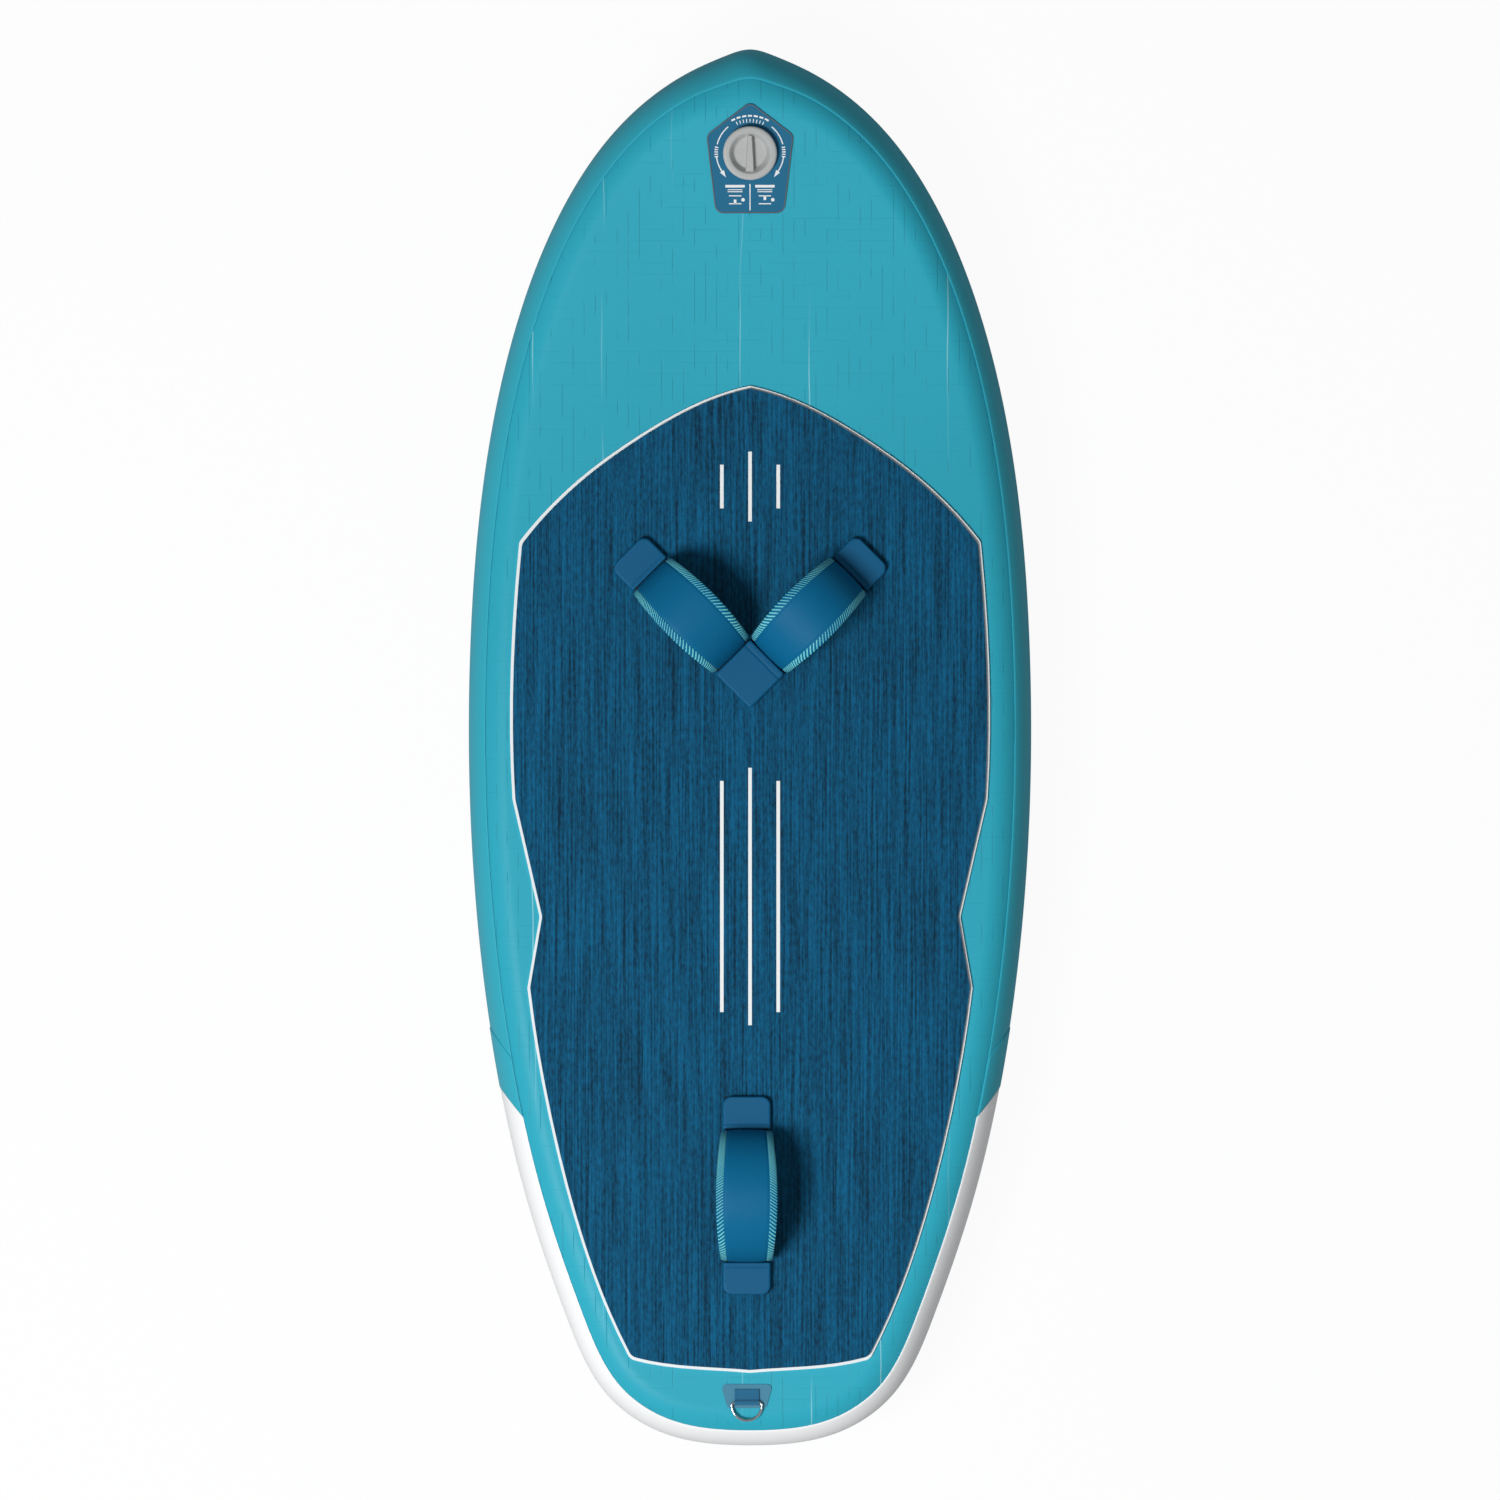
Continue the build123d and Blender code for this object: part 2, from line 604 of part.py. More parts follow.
def strap_tabs():
    """Soft caps over the screws, hollow underneath."""
    for name, place, layers in FITTINGS:
        low = layers * WEBBING_THICKNESS
        if layers == 2:
            tab = rounded_slab(CENTRE_TAB_SIZE, CENTRE_TAB_SIZE, low, low + TAB_HEIGHT, TAB_CORNER_RADIUS)
        else:
            tab = rounded_slab(TAB_LENGTH, TAB_WIDTH, low, low + TAB_HEIGHT, TAB_CORNER_RADIUS)
        top_edges = tab.faces().sort_by(Axis.Z)[-1].edges()
        tab = fillet(top_edges, TAB_EDGE_RADIUS)
        pocket_x = 2 * (WASHER_RADIUS + TAB_POCKET_GAP)
        pocket_y = pocket_x + SCREW_PITCH
        depth = WASHER_THICKNESS + SCREW_HEAD_HEIGHT + HOLE_CLEARANCE
        tab -= rounded_slab(pocket_x, pocket_y, low, low + depth, WASHER_RADIUS)
        save(f"strap_tab_{name}", place * tab)


def strap_fasteners():
    """Screws, washers, threaded bushings and the plates that hold the bushings to the deck."""
    screws, washers, bushings, plates = [], [], [], []
    for _, place, layers in FITTINGS:
        plate = rounded_slab(INSERT_PLATE_WIDTH, INSERT_PLATE_LENGTH, -PAD_STACK,
                             -PAD_THICKNESS, INSERT_PLATE_CORNER)
        base = layers * WEBBING_THICKNESS
        under_head = base + WASHER_THICKNESS
        tip = max(under_head - SCREW_LENGTH, BUSHING_FLOOR + HOLE_CLEARANCE - PAD_STACK)
        head = tube(SCREW_HEAD_RADIUS, 0, under_head, under_head + SCREW_HEAD_HEIGHT)
        socket = extrude(RegularPolygon(HEX_SOCKET_RADIUS, 6), amount=HEX_SOCKET_DEPTH)
        head -= Pos(0, 0, under_head + SCREW_HEAD_HEIGHT - HEX_SOCKET_DEPTH) * socket
        screw = head + tube(SCREW_RADIUS, 0, tip, under_head)
        washer = tube(WASHER_RADIUS, SCREW_RADIUS + HOLE_CLEARANCE, base, under_head)
        bushing = tube(BUSHING_RADIUS, 0, -PAD_STACK, 0)
        bushing -= tube(BUSHING_BORE_RADIUS, 0, BUSHING_FLOOR - PAD_STACK, PAD_STACK)
        for side in (-1, 1):
            seat = Pos(0, side * SCREW_PITCH / 2)
            plate -= seat * tube(BUSHING_RADIUS, 0, -2 * PAD_STACK, PAD_STACK)
        for spot in screw_spots(place):
            screws.append(spot * screw)
            washers.append(spot * washer)
            bushings.append(spot * bushing)
        plates.append(place * plate)
    save("strap_screws", screws)
    save("strap_washers", washers)
    save("strap_bushings", bushings)
    save("strap_insert_plates", plates)


# ---- Deck pad ----

PAD_FRONT = HALF_LENGTH - PAD_FROM_NOSE
PAD_BACK = -HALF_LENGTH + PAD_FROM_TAIL
PAD_HALF = HALF_WIDTH - PAD_FROM_RIM


def pad_prism(inset):
    """Upright prism of the pad outline: pointed front, straight sides, a waist and a round tail.

    Points are shares of the pad's half width and of its length from the back. The inset draws the
    whole outline in by that much.
    """
    def spot(across, along):
        x = across * (PAD_HALF - inset)
        return (x, PAD_BACK + inset + along * (PAD_FRONT - PAD_BACK - 2 * inset))

    front = [(0, 1), (0.144, 0.990), (0.467, 0.949), (0.696, 0.909), (0.873, 0.868), (0.962, 0.842)]
    side = [(0.962, 0.842), (0.985, 0.775), (1, 0.641), (0.990, 0.581)]
    waist = [(0.990, 0.581), (0.877, 0.462), (0.928, 0.390)]
    back = [(0.928, 0.390), (0.898, 0.337), (0.842, 0.264), (0.744, 0.167), (0.608, 0.070), (0.5, 0.014)]
    end = [(0.5, 0.014), (0.392, 0.008), (0.190, 0.003), (0, 0)]
    edges = [
        Spline(*[spot(*p) for p in front]), Spline(*[spot(*p) for p in side]),
        Line(spot(*waist[0]), spot(*waist[1])), Line(spot(*waist[1]), spot(*waist[2])),
        Spline(*[spot(*p) for p in back]), Spline(*[spot(*p) for p in end]),
    ]
    right = Face(Wire(edges + [Line(spot(0, 0), spot(0, 1))]))
    prism = extrude(right, amount=PAD_Z, both=True)
    prism = Pos(0, 0, PAD_Z) * (prism + mirror(prism, about=Plane.YZ))
    corners = [spot(*p) for p in (front[-1], waist[0], waist[1], waist[2], back[-1])]
    picked = [
        e for e in upright(prism)
        if any(hypot(abs(e.center().X) - x, e.center().Y - y) < PAD_CORNER_REACH for x, y in corners)
    ]
    return fillet(picked, PAD_CORNER_RADIUS)


def sight_lines():
    """Grooves in the top layer that show the pale underlay: three ahead, three down the middle."""
    front_start = PAD_FRONT - FRONT_SIGHT_START
    rear_start = FRONT_STRAP_Y - CENTRE_TAB_SIZE / 2 - REAR_SIGHT_GAP
    strap_end = REAR_STRAP_Y + REAR_ARCH_RADIUS + WEBBING_FOLD_RADIUS + TAB_LENGTH
    rear_end = strap_end + REAR_SIGHT_END_GAP
    grooves = []
    for column in (-1, 0, 1):
        step = SIGHT_SIDE_STEP * abs(column)
        x = column * SIGHT_PITCH
        for start, end in ((front_start, front_start - FRONT_SIGHT_LENGTH), (rear_start, rear_end)):
            x_range = (x - SIGHT_WIDTH / 2, x + SIGHT_WIDTH / 2)
            grooves.append(box(x_range, (end + step, start - step), (0, 2 * PAD_Z)))
    return grooves


def deck_pads():
    """White underlay and grooved top layer, with room for the strap plates and bushings."""
    underlay_top = HALF_THICKNESS + UNDERLAY_THICKNESS
    underlay = bent_slab(HALF_THICKNESS, underlay_top) & pad_prism(0)
    top = bent_slab(underlay_top, HALF_THICKNESS + PAD_STACK) & pad_prism(PAD_BORDER)
    for groove in sight_lines():
        top -= groove
    for _, place, _ in FITTINGS:
        grow = 2 * HOLE_CLEARANCE
        underlay -= place * rounded_slab(INSERT_PLATE_WIDTH + grow, INSERT_PLATE_LENGTH + grow,
                                         -2 * PAD_STACK, PAD_STACK, INSERT_PLATE_CORNER)
        for spot in screw_spots(place):
            top -= spot * tube(BUSHING_RADIUS + HOLE_CLEARANCE, 0, -2 * PAD_STACK, PAD_STACK)
    save("pad_underlay", underlay)
    save("deck_pad", top)


# ---- Inflation valve ----

FLANGE_LOW = GASKET_THICKNESS
FLANGE_TOP = GASKET_THICKNESS + VALVE_FLANGE_THICKNESS
RIM_LOW = FLANGE_TOP + CAP_SEAL_THICKNESS
CAP_TOP = RIM_LOW + CAP_RIM_HEIGHT
CAP_FLOOR = CAP_TOP - CAP_DISH_DEPTH
SEAT_LOW = -VALVE_DEPTH


def valve_patch():
    """Five-sided skin patch round the valve, rounded at its corners, following the deck."""
    centre_y = HALF_LENGTH - VALVE_FROM_NOSE
    points = [
        (0, centre_y + VALVE_PATCH_TOP),
        (VALVE_PATCH_HALF_WIDTH, centre_y + VALVE_PATCH_SHOULDER),
        (VALVE_PATCH_HALF_END, centre_y - VALVE_PATCH_BOTTOM),
        (-VALVE_PATCH_HALF_END, centre_y - VALVE_PATCH_BOTTOM),
        (-VALVE_PATCH_HALF_WIDTH, centre_y + VALVE_PATCH_SHOULDER),
    ]
    prism = extrude(make_face(Polyline(*points, close=True)), amount=BOARD_WIDTH)
    prism = fillet(upright(prism), VALVE_PATCH_CORNER)
    skin = bent_slab(HALF_THICKNESS, HALF_THICKNESS + PATCH_THICKNESS) & prism
    hole = tube(VALVE_FLANGE_RADIUS + HOLE_CLEARANCE, 0, -CAP_TOP, CAP_TOP)
    save("valve_patch", skin - VALVE * hole)


def valve_body():
    """Flanged tube with a seat lip at its foot and a three-legged guide for the pin."""
    body = tube(VALVE_TUBE_RADIUS, VALVE_BORE_RADIUS, SEAT_LOW, FLANGE_LOW)
    body += tube(VALVE_FLANGE_RADIUS, VALVE_BORE_RADIUS, FLANGE_LOW, FLANGE_TOP)
    body += tube(VALVE_TUBE_RADIUS, SEAT_RADIUS, SEAT_LOW, SEAT_LOW + SEAT_THICKNESS)
    low = SPIDER_TOP - SPIDER_HEIGHT
    for leg in range(SPIDER_RIBS):
        length = VALVE_BORE_RADIUS + VALVE_WALL / 2
        rib = box((0, length), (-SPIDER_RIB_WIDTH / 2, SPIDER_RIB_WIDTH / 2), (low, SPIDER_TOP))
        body += Rot(0, 0, 360 / SPIDER_RIBS * leg) * rib
    body += tube(SPIDER_HUB_RADIUS, 0, low, SPIDER_TOP)
    body -= tube(PIN_RADIUS + PIN_CLEARANCE, 0, low - 1, SPIDER_TOP + 1)
    save("valve_body", VALVE * body)
    inner = VALVE_TUBE_RADIUS + HOLE_CLEARANCE / 3
    save("valve_gasket", VALVE * tube(VALVE_FLANGE_RADIUS, inner, GASKET_FOOT_GAP, GASKET_THICKNESS))
    nut_top = -PANEL_THICKNESS - HOLE_CLEARANCE
    nut = tube(NUT_RADIUS, inner, nut_top - NUT_HEIGHT, nut_top)
    half = NUT_NOTCH_WIDTH / 2
    for notch in range(NUT_NOTCHES):
        x_range = (NUT_RADIUS - NUT_NOTCH_DEPTH, NUT_RADIUS + NUT_NOTCH_DEPTH)
        bite = box(x_range, (-half, half), (nut_top - NUT_HEIGHT, nut_top))
        nut -= Rot(0, 0, 360 / NUT_NOTCHES * notch) * bite
    save("valve_nut", VALVE * nut)


def valve_pin():
    """Push button, stem and poppet in one, with its seal and the spring that lifts it."""
    seal_low = SEAT_LOW - POPPET_SEAL_THICKNESS
    pin = tube(BUTTON_RADIUS, 0, BUTTON_TOP - BUTTON_HEIGHT, BUTTON_TOP)
    pin += tube(PIN_RADIUS, 0, seal_low, BUTTON_TOP - BUTTON_HEIGHT)
    pin += tube(POPPET_RADIUS, 0, seal_low - POPPET_THICKNESS, seal_low)
    save("valve_pin", VALVE * pin)
    save("valve_pin_seal", VALVE * tube(POPPET_RADIUS, PIN_RADIUS + SEAL_FIT, seal_low, SEAT_LOW))
    low = SPIDER_TOP + SPRING_WIRE_RADIUS + SPRING_END_GAP
    high = BUTTON_TOP - BUTTON_HEIGHT - SPRING_WIRE_RADIUS - SPRING_END_GAP
    coil = Helix(pitch=(high - low) / SPRING_TURNS, height=high - low, radius=SPRING_RADIUS)
    start = Plane(origin=coil @ 0, z_dir=coil % 0)
    wire = sweep(start * Circle(SPRING_WIRE_RADIUS), path=coil, is_frenet=True)
    save("valve_spring", VALVE * Pos(0, 0, low) * wire)


def valve_cap():
    """Dished cap with a grip bar across it and a skirt that enters the valve."""
    skirt_outer = VALVE_BORE_RADIUS - CAP_SKIRT_GAP
    skirt_inner = skirt_outer - CAP_WALL
    profile = Polyline(
        (0, CAP_FLOOR), (CAP_FLOOR_RADIUS, CAP_FLOOR), (CAP_DISH_RADIUS, CAP_TOP),
        (CAP_RADIUS, CAP_TOP), (CAP_RADIUS, RIM_LOW), (skirt_outer, RIM_LOW),
        (skirt_outer, FLANGE_TOP - CAP_SKIRT_DEPTH), (skirt_inner, FLANGE_TOP - CAP_SKIRT_DEPTH),
        (skirt_inner, CAP_FLOOR - CAP_WALL), (0, CAP_FLOOR - CAP_WALL), close=True)
    cap = revolve(Plane.XZ * make_face(profile), Axis.Z)
    rim_edges = cap.edges().filter_by(GeomType.CIRCLE).filter_by(
        lambda e: abs(e.radius - CAP_RADIUS) < 0.01 and e.center().Z > RIM_LOW + 1)
    cap = fillet(rim_edges, CAP_EDGE_RADIUS)
    half = CAP_BAR_WIDTH / 2
    bar_z = (CAP_FLOOR - CAP_WALL / 2, CAP_TOP - CAP_BAR_TOP_GAP)
    bar = box((-half, half), (-CAP_BAR_LENGTH / 2, CAP_BAR_LENGTH / 2), bar_z)
    save("valve_cap", VALVE * (cap + bar))
    ring_outer = VALVE_BORE_RADIUS + VALVE_WALL + CAP_SEAL_WIDTH
    save("cap_seal", VALVE * tube(ring_outer, VALVE_BORE_RADIUS, FLANGE_TOP, RIM_LOW))


# ---- Leash ring ----

RING_Y = -HALF_LENGTH + RING_FROM_TAIL
LOOP_INNER = RING_WIRE_RADIUS + LOOP_CLEARANCE
LOOP_OUTER = LOOP_INNER + LOOP_LAYER
RING_Z = DECK_Z + LEASH_PATCH_THICKNESS + LOOP_OUTER


def leash_ring():
    """Patch on the tail deck, a webbing loop sewn to it and the steel ring that swings in it."""
    ahead, behind = RING_Y + LEASH_PATCH_AHEAD, RING_Y - LEASH_PATCH_BEHIND
    points = [
        (-LEASH_PATCH_HALF_WIDTH, ahead), (LEASH_PATCH_HALF_WIDTH, ahead),
        (LEASH_PATCH_HALF_END, behind), (-LEASH_PATCH_HALF_END, behind),
    ]
    patch = extrude(make_face(Polyline(*points, close=True)), amount=LEASH_PATCH_THICKNESS)
    save("leash_patch", Pos(RING_OFFSET, 0, DECK_Z) * fillet(upright(patch), LEASH_PATCH_CORNER))

    low = RING_Z - LOOP_OUTER
    tongue = box((-LOOP_WIDTH / 2, LOOP_WIDTH / 2), (RING_Y, RING_Y + LOOP_TAIL + LOOP_OUTER),
                 (low, low + 2 * LOOP_LAYER))
    eye = Pos(0, RING_Y, RING_Z) * Rot(0, 90, 0) * Cylinder(LOOP_OUTER, LOOP_WIDTH)
    bore = Pos(0, RING_Y, RING_Z) * Rot(0, 90, 0) * Cylinder(LOOP_INNER, 2 * LOOP_WIDTH)
    save("leash_loop", Pos(RING_OFFSET, 0, 0) * (tongue + eye - bore))

    half, corner = RING_HALF_WIDTH, RING_CORNER_RADIUS
    slope = corner * (1 - cos(radians(45)))
    path = Wire([
        Line((corner - half, 0), (half - corner, 0)),
        ThreePointArc((half - corner, 0), (half - slope, -slope), (half, -corner)),
        ThreePointArc((half, -corner), (0, -corner - half), (-half, -corner)),
        ThreePointArc((-half, -corner), (slope - half, -slope), (corner - half, 0)),
    ])
    section = Plane(origin=(0, 0, 0), z_dir=(1, 0, 0)) * Circle(RING_WIRE_RADIUS)
    start = Pos(corner - half, 0, 0) * section
    save("leash_d_ring", Pos(RING_OFFSET, RING_Y, RING_Z) * sweep(start, path=path))


# ---- Foil mount ----

def foil_mount():
    """Base plate under the hull with two T-slot tracks and four sliding nuts."""
    plate = Pos(0, FOIL_Y) * rounded_slab(FOIL_PLATE_WIDTH, FOIL_PLATE_LENGTH, 0,
                                          FOIL_PLATE_THICKNESS, FOIL_PLATE_CORNER)
    half_track = TRACK_WIDTH / 2
    half_long = TRACK_LENGTH / 2
    cavity_end = half_long - TRACK_END_WALL
    for name, side in (("left", -1), ("right", 1)):
        place = Pos(side * TRACK_SPACING / 2, FOIL_Y)
        pocket = box((-half_track - TRACK_FIT, half_track + TRACK_FIT),
                     (-half_long - TRACK_FIT, half_long + TRACK_FIT), (-1, TRACK_HEIGHT + TRACK_FIT))
        plate -= place * pocket
        track = box((-half_track, half_track), (-half_long, half_long), (0, TRACK_HEIGHT))
        track -= box((-SLOT_WIDTH / 2, SLOT_WIDTH / 2), (-cavity_end, cavity_end), (-1, SLOT_LIP + 1))
        track -= box((-CAVITY_WIDTH / 2, CAVITY_WIDTH / 2), (-cavity_end, cavity_end),
                     (SLOT_LIP, SLOT_LIP + CAVITY_HEIGHT))
        track -= box((-CAVITY_WIDTH / 2, CAVITY_WIDTH / 2), (-NOTCH_LENGTH / 2, NOTCH_LENGTH / 2),
                     (-1, SLOT_LIP + 1))
        save(f"foil_track_{name}", place * track)
    save("foil_plate", plate)

    half_nut = CAVITY_WIDTH / 2 - NUT_GAP
    nut = box((-half_nut, half_nut), (-NUT_LENGTH / 2, NUT_LENGTH / 2),
              (SLOT_LIP + NUT_GAP, SLOT_LIP + CAVITY_HEIGHT - NUT_GAP))
    nut -= tube(NUT_HOLE_RADIUS, 0, 0, TRACK_HEIGHT)
    for end, along in (("front", 1), ("back", -1)):
        for name, side in (("left", -1), ("right", 1)):
            place = Pos(side * TRACK_SPACING / 2, FOIL_Y + along * NUT_SPACING / 2)
            save(f"track_nut_{end}_{name}", place * nut)


# ---- Carry handle ----

def carry_handle():
    """Webbing on two patches with a padded grip that hangs level with the foil plate."""
    patch_low = BOTTOM_Z - PATCH_THICKNESS
    flat_z = patch_low - HANDLE_WEBBING_THICKNESS / 2
    grip_z = HANDLE_GRIP_HEIGHT / 2
    bend_y = HANDLE_GRIP_LENGTH / 2 + HANDLE_BEND_RADIUS / 2
    flat_y = bend_y + HANDLE_SLOPE_LENGTH
    end_y = flat_y + HANDLE_FLAT_LENGTH
    points = [(-end_y, 0, flat_z), (-flat_y, 0, flat_z), (-bend_y, 0, grip_z),
              (bend_y, 0, grip_z), (flat_y, 0, flat_z), (end_y, 0, flat_z)]
    path = FilletPolyline(*points, radius=HANDLE_BEND_RADIUS)
    place = Pos(0, HANDLE_Y) * Rot(0, 0, 90)
    save("handle_webbing", place * swept_band(path, HANDLE_WEBBING_THICKNESS, HANDLE_WEBBING_WIDTH))

    grip = rounded_slab(HANDLE_GRIP_LENGTH, HANDLE_GRIP_WIDTH, 0, HANDLE_GRIP_HEIGHT,
                        2 * HANDLE_GRIP_EDGE)
    grip = fillet(grip.edges().filter_by(Axis.X), HANDLE_GRIP_EDGE)
    thickness = HANDLE_WEBBING_THICKNESS / 2 + COVER_SLOT_GAP
    width = HANDLE_WEBBING_WIDTH / 2 + COVER_SLOT_GAP
    grip -= box((-end_y, end_y), (-width, width), (grip_z - thickness, grip_z + thickness))
    save("handle_grip", place * grip)

    middle = (flat_y + end_y) / 2
    for name, along in (("front", 1), ("rear", -1)):
        patch = rounded_slab(HANDLE_PATCH_WIDTH, HANDLE_PATCH_LENGTH, patch_low, BOTTOM_Z,
                             HANDLE_PATCH_RADIUS)
        save(f"handle_patch_{name}", Pos(0, HANDLE_Y + along * middle) * patch)


hull_panels()
sidewalls()
rail_bands()
drop_stitch_threads()
deck_pads()
strap_webbings()
strap_covers()
strap_tabs()
strap_fasteners()
valve_patch()
valve_body()
valve_pin()
valve_cap()
leash_ring()
foil_mount()
carry_handle()
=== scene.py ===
import json
import math
import bmesh
import bpy
import numpy as np
from bpy.props import FloatProperty, FloatVectorProperty, IntProperty, PointerProperty
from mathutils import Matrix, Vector


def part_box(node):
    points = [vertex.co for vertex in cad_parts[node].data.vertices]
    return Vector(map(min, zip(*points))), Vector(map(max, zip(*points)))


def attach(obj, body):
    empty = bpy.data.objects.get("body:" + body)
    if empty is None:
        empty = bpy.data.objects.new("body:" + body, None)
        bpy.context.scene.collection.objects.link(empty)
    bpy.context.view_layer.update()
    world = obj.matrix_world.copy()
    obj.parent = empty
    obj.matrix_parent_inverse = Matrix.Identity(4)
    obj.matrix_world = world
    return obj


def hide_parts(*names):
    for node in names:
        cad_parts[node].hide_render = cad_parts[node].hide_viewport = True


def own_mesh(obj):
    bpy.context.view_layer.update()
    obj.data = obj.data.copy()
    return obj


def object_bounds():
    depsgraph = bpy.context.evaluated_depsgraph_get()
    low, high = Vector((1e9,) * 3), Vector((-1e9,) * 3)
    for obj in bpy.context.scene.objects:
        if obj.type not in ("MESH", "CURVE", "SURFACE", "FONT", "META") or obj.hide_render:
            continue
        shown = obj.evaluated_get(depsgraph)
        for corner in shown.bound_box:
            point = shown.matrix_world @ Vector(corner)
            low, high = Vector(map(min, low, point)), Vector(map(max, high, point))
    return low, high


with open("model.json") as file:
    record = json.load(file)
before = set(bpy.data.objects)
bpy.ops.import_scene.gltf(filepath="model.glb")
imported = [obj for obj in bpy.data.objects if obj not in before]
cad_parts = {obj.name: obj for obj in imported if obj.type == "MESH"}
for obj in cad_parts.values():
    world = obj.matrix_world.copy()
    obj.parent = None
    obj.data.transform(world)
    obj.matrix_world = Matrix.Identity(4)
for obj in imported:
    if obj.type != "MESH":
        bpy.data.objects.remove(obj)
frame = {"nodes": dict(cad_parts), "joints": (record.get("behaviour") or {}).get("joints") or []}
CAD_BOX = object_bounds()

bl_info = {
    "name": "Inflatable foil board",
    "version": (1, 0, 0),
    "blender": (4, 5, 0),
    "location": "View3D > Sidebar > Foil board",
    "description": "Skins, pad, straps, valve and fittings of an inflatable foil board",
    "category": "Object",
}

MM = 0.001
STITCH_PITCH = 12.6 * MM     # between the stitched threads that show through the coated skins
WRINKLE_HIGHLIGHT_PITCH = 79 * MM        # between the long pale lines along the deck, painted highlights of wrinkles in the film
WELD = 0.002 * MM            # points closer than this are one
SPINE_SHARE = 0.9            # of the deck edge's length that the skins' centre line takes
FLAT_POINTS, RAIL_POINTS = 36, 14               # across half a skin: its flat, then its rail
SKIN_THICKNESS = 1.1 * MM
TUCK_UNDER_TAPE = math.radians(3)
BORE_RADIUS, BORE_DEPTH = 24 * MM, 20 * MM      # of the skin opened for the valve
TAPE_THICKNESS = 1.0 * MM
TAPE_OUTER_POINTS = 41       # on the outer face of a tape's section
TAPE_INNER_STEP = 4          # every so many of them has a partner on the inner face
TAPE_EDGE = 0.6 * 0.35 / 0.0635  # bulge of a tape's edge, radians per metre of its thickness
LAP_LENGTH, LAP_LIFT = 68 * MM, 0.7 * MM        # of the second layer where the tapes meet
JOINT_GAP = 0.3 * MM         # between the teal tape's end and the white one's start
# The pale lines in the pad: their spans at the middle, how much the outer two are shorter, and
# the heights of their foot and top above the deck
SIGHT_SPANS = ((259.1 * MM, 339.1 * MM), (-316.1 * MM, -21.9 * MM))
SIGHT_STEP, SIGHT_END_FIT = 15 * MM, 0.1 * MM
SIGHT_FOOT, SIGHT_TOP = 3.1 * MM, 6.6 * MM
COVER_HALF_THICKNESS = 5 * MM
COVER_SIDE_REACH = 28.96 * MM    # how far a turned cover's box goes past its arch sideways
SPLINE_STEPS = 200           # from one given point of the rim to the next

# Rim outline of the hull, nose to tail: share of the half width, share of the half length
RIM_SHAPE = [
    (0.0, 1.0), (0.0836, 0.9914), (0.2245, 0.9658), (0.449, 0.8973), (0.654, 0.7831),
    (0.8276, 0.6117), (0.9474, 0.3834), (0.9938, 0.155), (1.0, 0.025), (0.9814, -0.1877),
    (0.9176, -0.4161), (0.7957, -0.6446), (0.6523, -0.816), (0.5022, -0.930),
    (0.3235, -0.980), (0.0, -1.0),
]


def linear(hex_colour):
    """sRGB hex text to a linear colour: the usual power curve with its straight foot."""
    values = [int(hex_colour[i:i + 2], 16) / 255 for i in (0, 2, 4)]
    low = [v / 12.92 if v <= 0.04045 else ((v + 0.055) / 1.055) ** 2.4 for v in values]
    return (*low, 1.0)


# ---- Sizes and colours a user may change ----

def length(name, description, value):
    """A length property in metres from a value in millimetres."""
    return FloatProperty(name=name, description=description, default=value * MM,
                         subtype="DISTANCE", unit="LENGTH")


def colour(name, description, hex_colour):
    """A colour property from sRGB hex."""
    return FloatVectorProperty(name=name, description=description, size=4, subtype="COLOR",
                               default=linear(hex_colour), min=0, max=1)


class FoilBoardSizes(bpy.types.PropertyGroup):
    """Sizes of the surfaces laid over the frame."""
    shoulder: length("Shoulder", "Rounded rail, from the rim in to the flat deck", 46.0)
    nose_extra: length("Nose shoulder", "How much wider the shoulder is behind the tip", 14.0)
    nose_blend: length("Nose blend", "Length of rim over which it narrows again", 60.0)
    thickness: length("Hull thickness", "Between the flat deck and the flat bottom", 127.0)
    lift_radius: length("Nose curve", "Radius of the bottom where it rises to the nose", 2800.0)
    lift_start: length("Nose curve start", "Distance ahead of the middle where it begins", 250.1)
    tape: length("Rail tape", "Thickness of the outer rail tapes with their glue", 1.3)
    tape_angle: FloatProperty(name="Tape wrap", description="Half angle that the tapes wrap",
                              default=math.radians(55.6), subtype="ANGLE", unit="ROTATION")
    joint_rim: length("Tape joint", "Where teal meets white on the rim, behind the middle", 388.0)
    joint_slant: length("Joint slant", "How much further aft the joint meets the deck", 37.0)
    sight_pitch: length("Sight pitch", "Between the pale lines on the pad", 32.2)
    sight_width: length("Sight width", "Width of the pale lines", 4.2)
    cover_end: length("Cover end", "Width of a strap cover at its ends", 56.0)
    cover_middle: length("Cover middle", "Width of a strap cover at its crown", 70.0)
    rim_steps: IntProperty(name="Rim steps", description="Stations along half the rim",
                           default=240, min=40, max=600)


class FoilBoardColours(bpy.types.PropertyGroup):
    """Colours of the finishes."""
    deck: colour("Deck", "Coated deck fabric", "30a9bf")
    tape: colour("Rail tape", "Teal rail tape", "35adc2")
    white: colour("White tape", "White tail tape", "fafbfb")
    bottom: colour("Bottom", "Coated bottom fabric", "e9edee")
    pad: colour("Pad", "Brushed foam pad", "054a6b")
    pad_border: colour("Pad border", "Pale foam underlay", "f2f6f6")
    patch: colour("Patch", "Valve patch", "1f6a8e")
    leash_patch: colour("Leash patch", "Tail patch", "4886a0")
    cap: colour("Cap", "Grey moulded cap", "b4b6b5")
    cover: colour("Strap cover", "Knitted strap cover", "06648f")
    stripe: colour("Stripe", "Printed stripes on the cover edges", "74d0d2")
    tab: colour("Strap tab", "Soft strap tabs", "0d5a83")


# ---- Mesh helpers ----

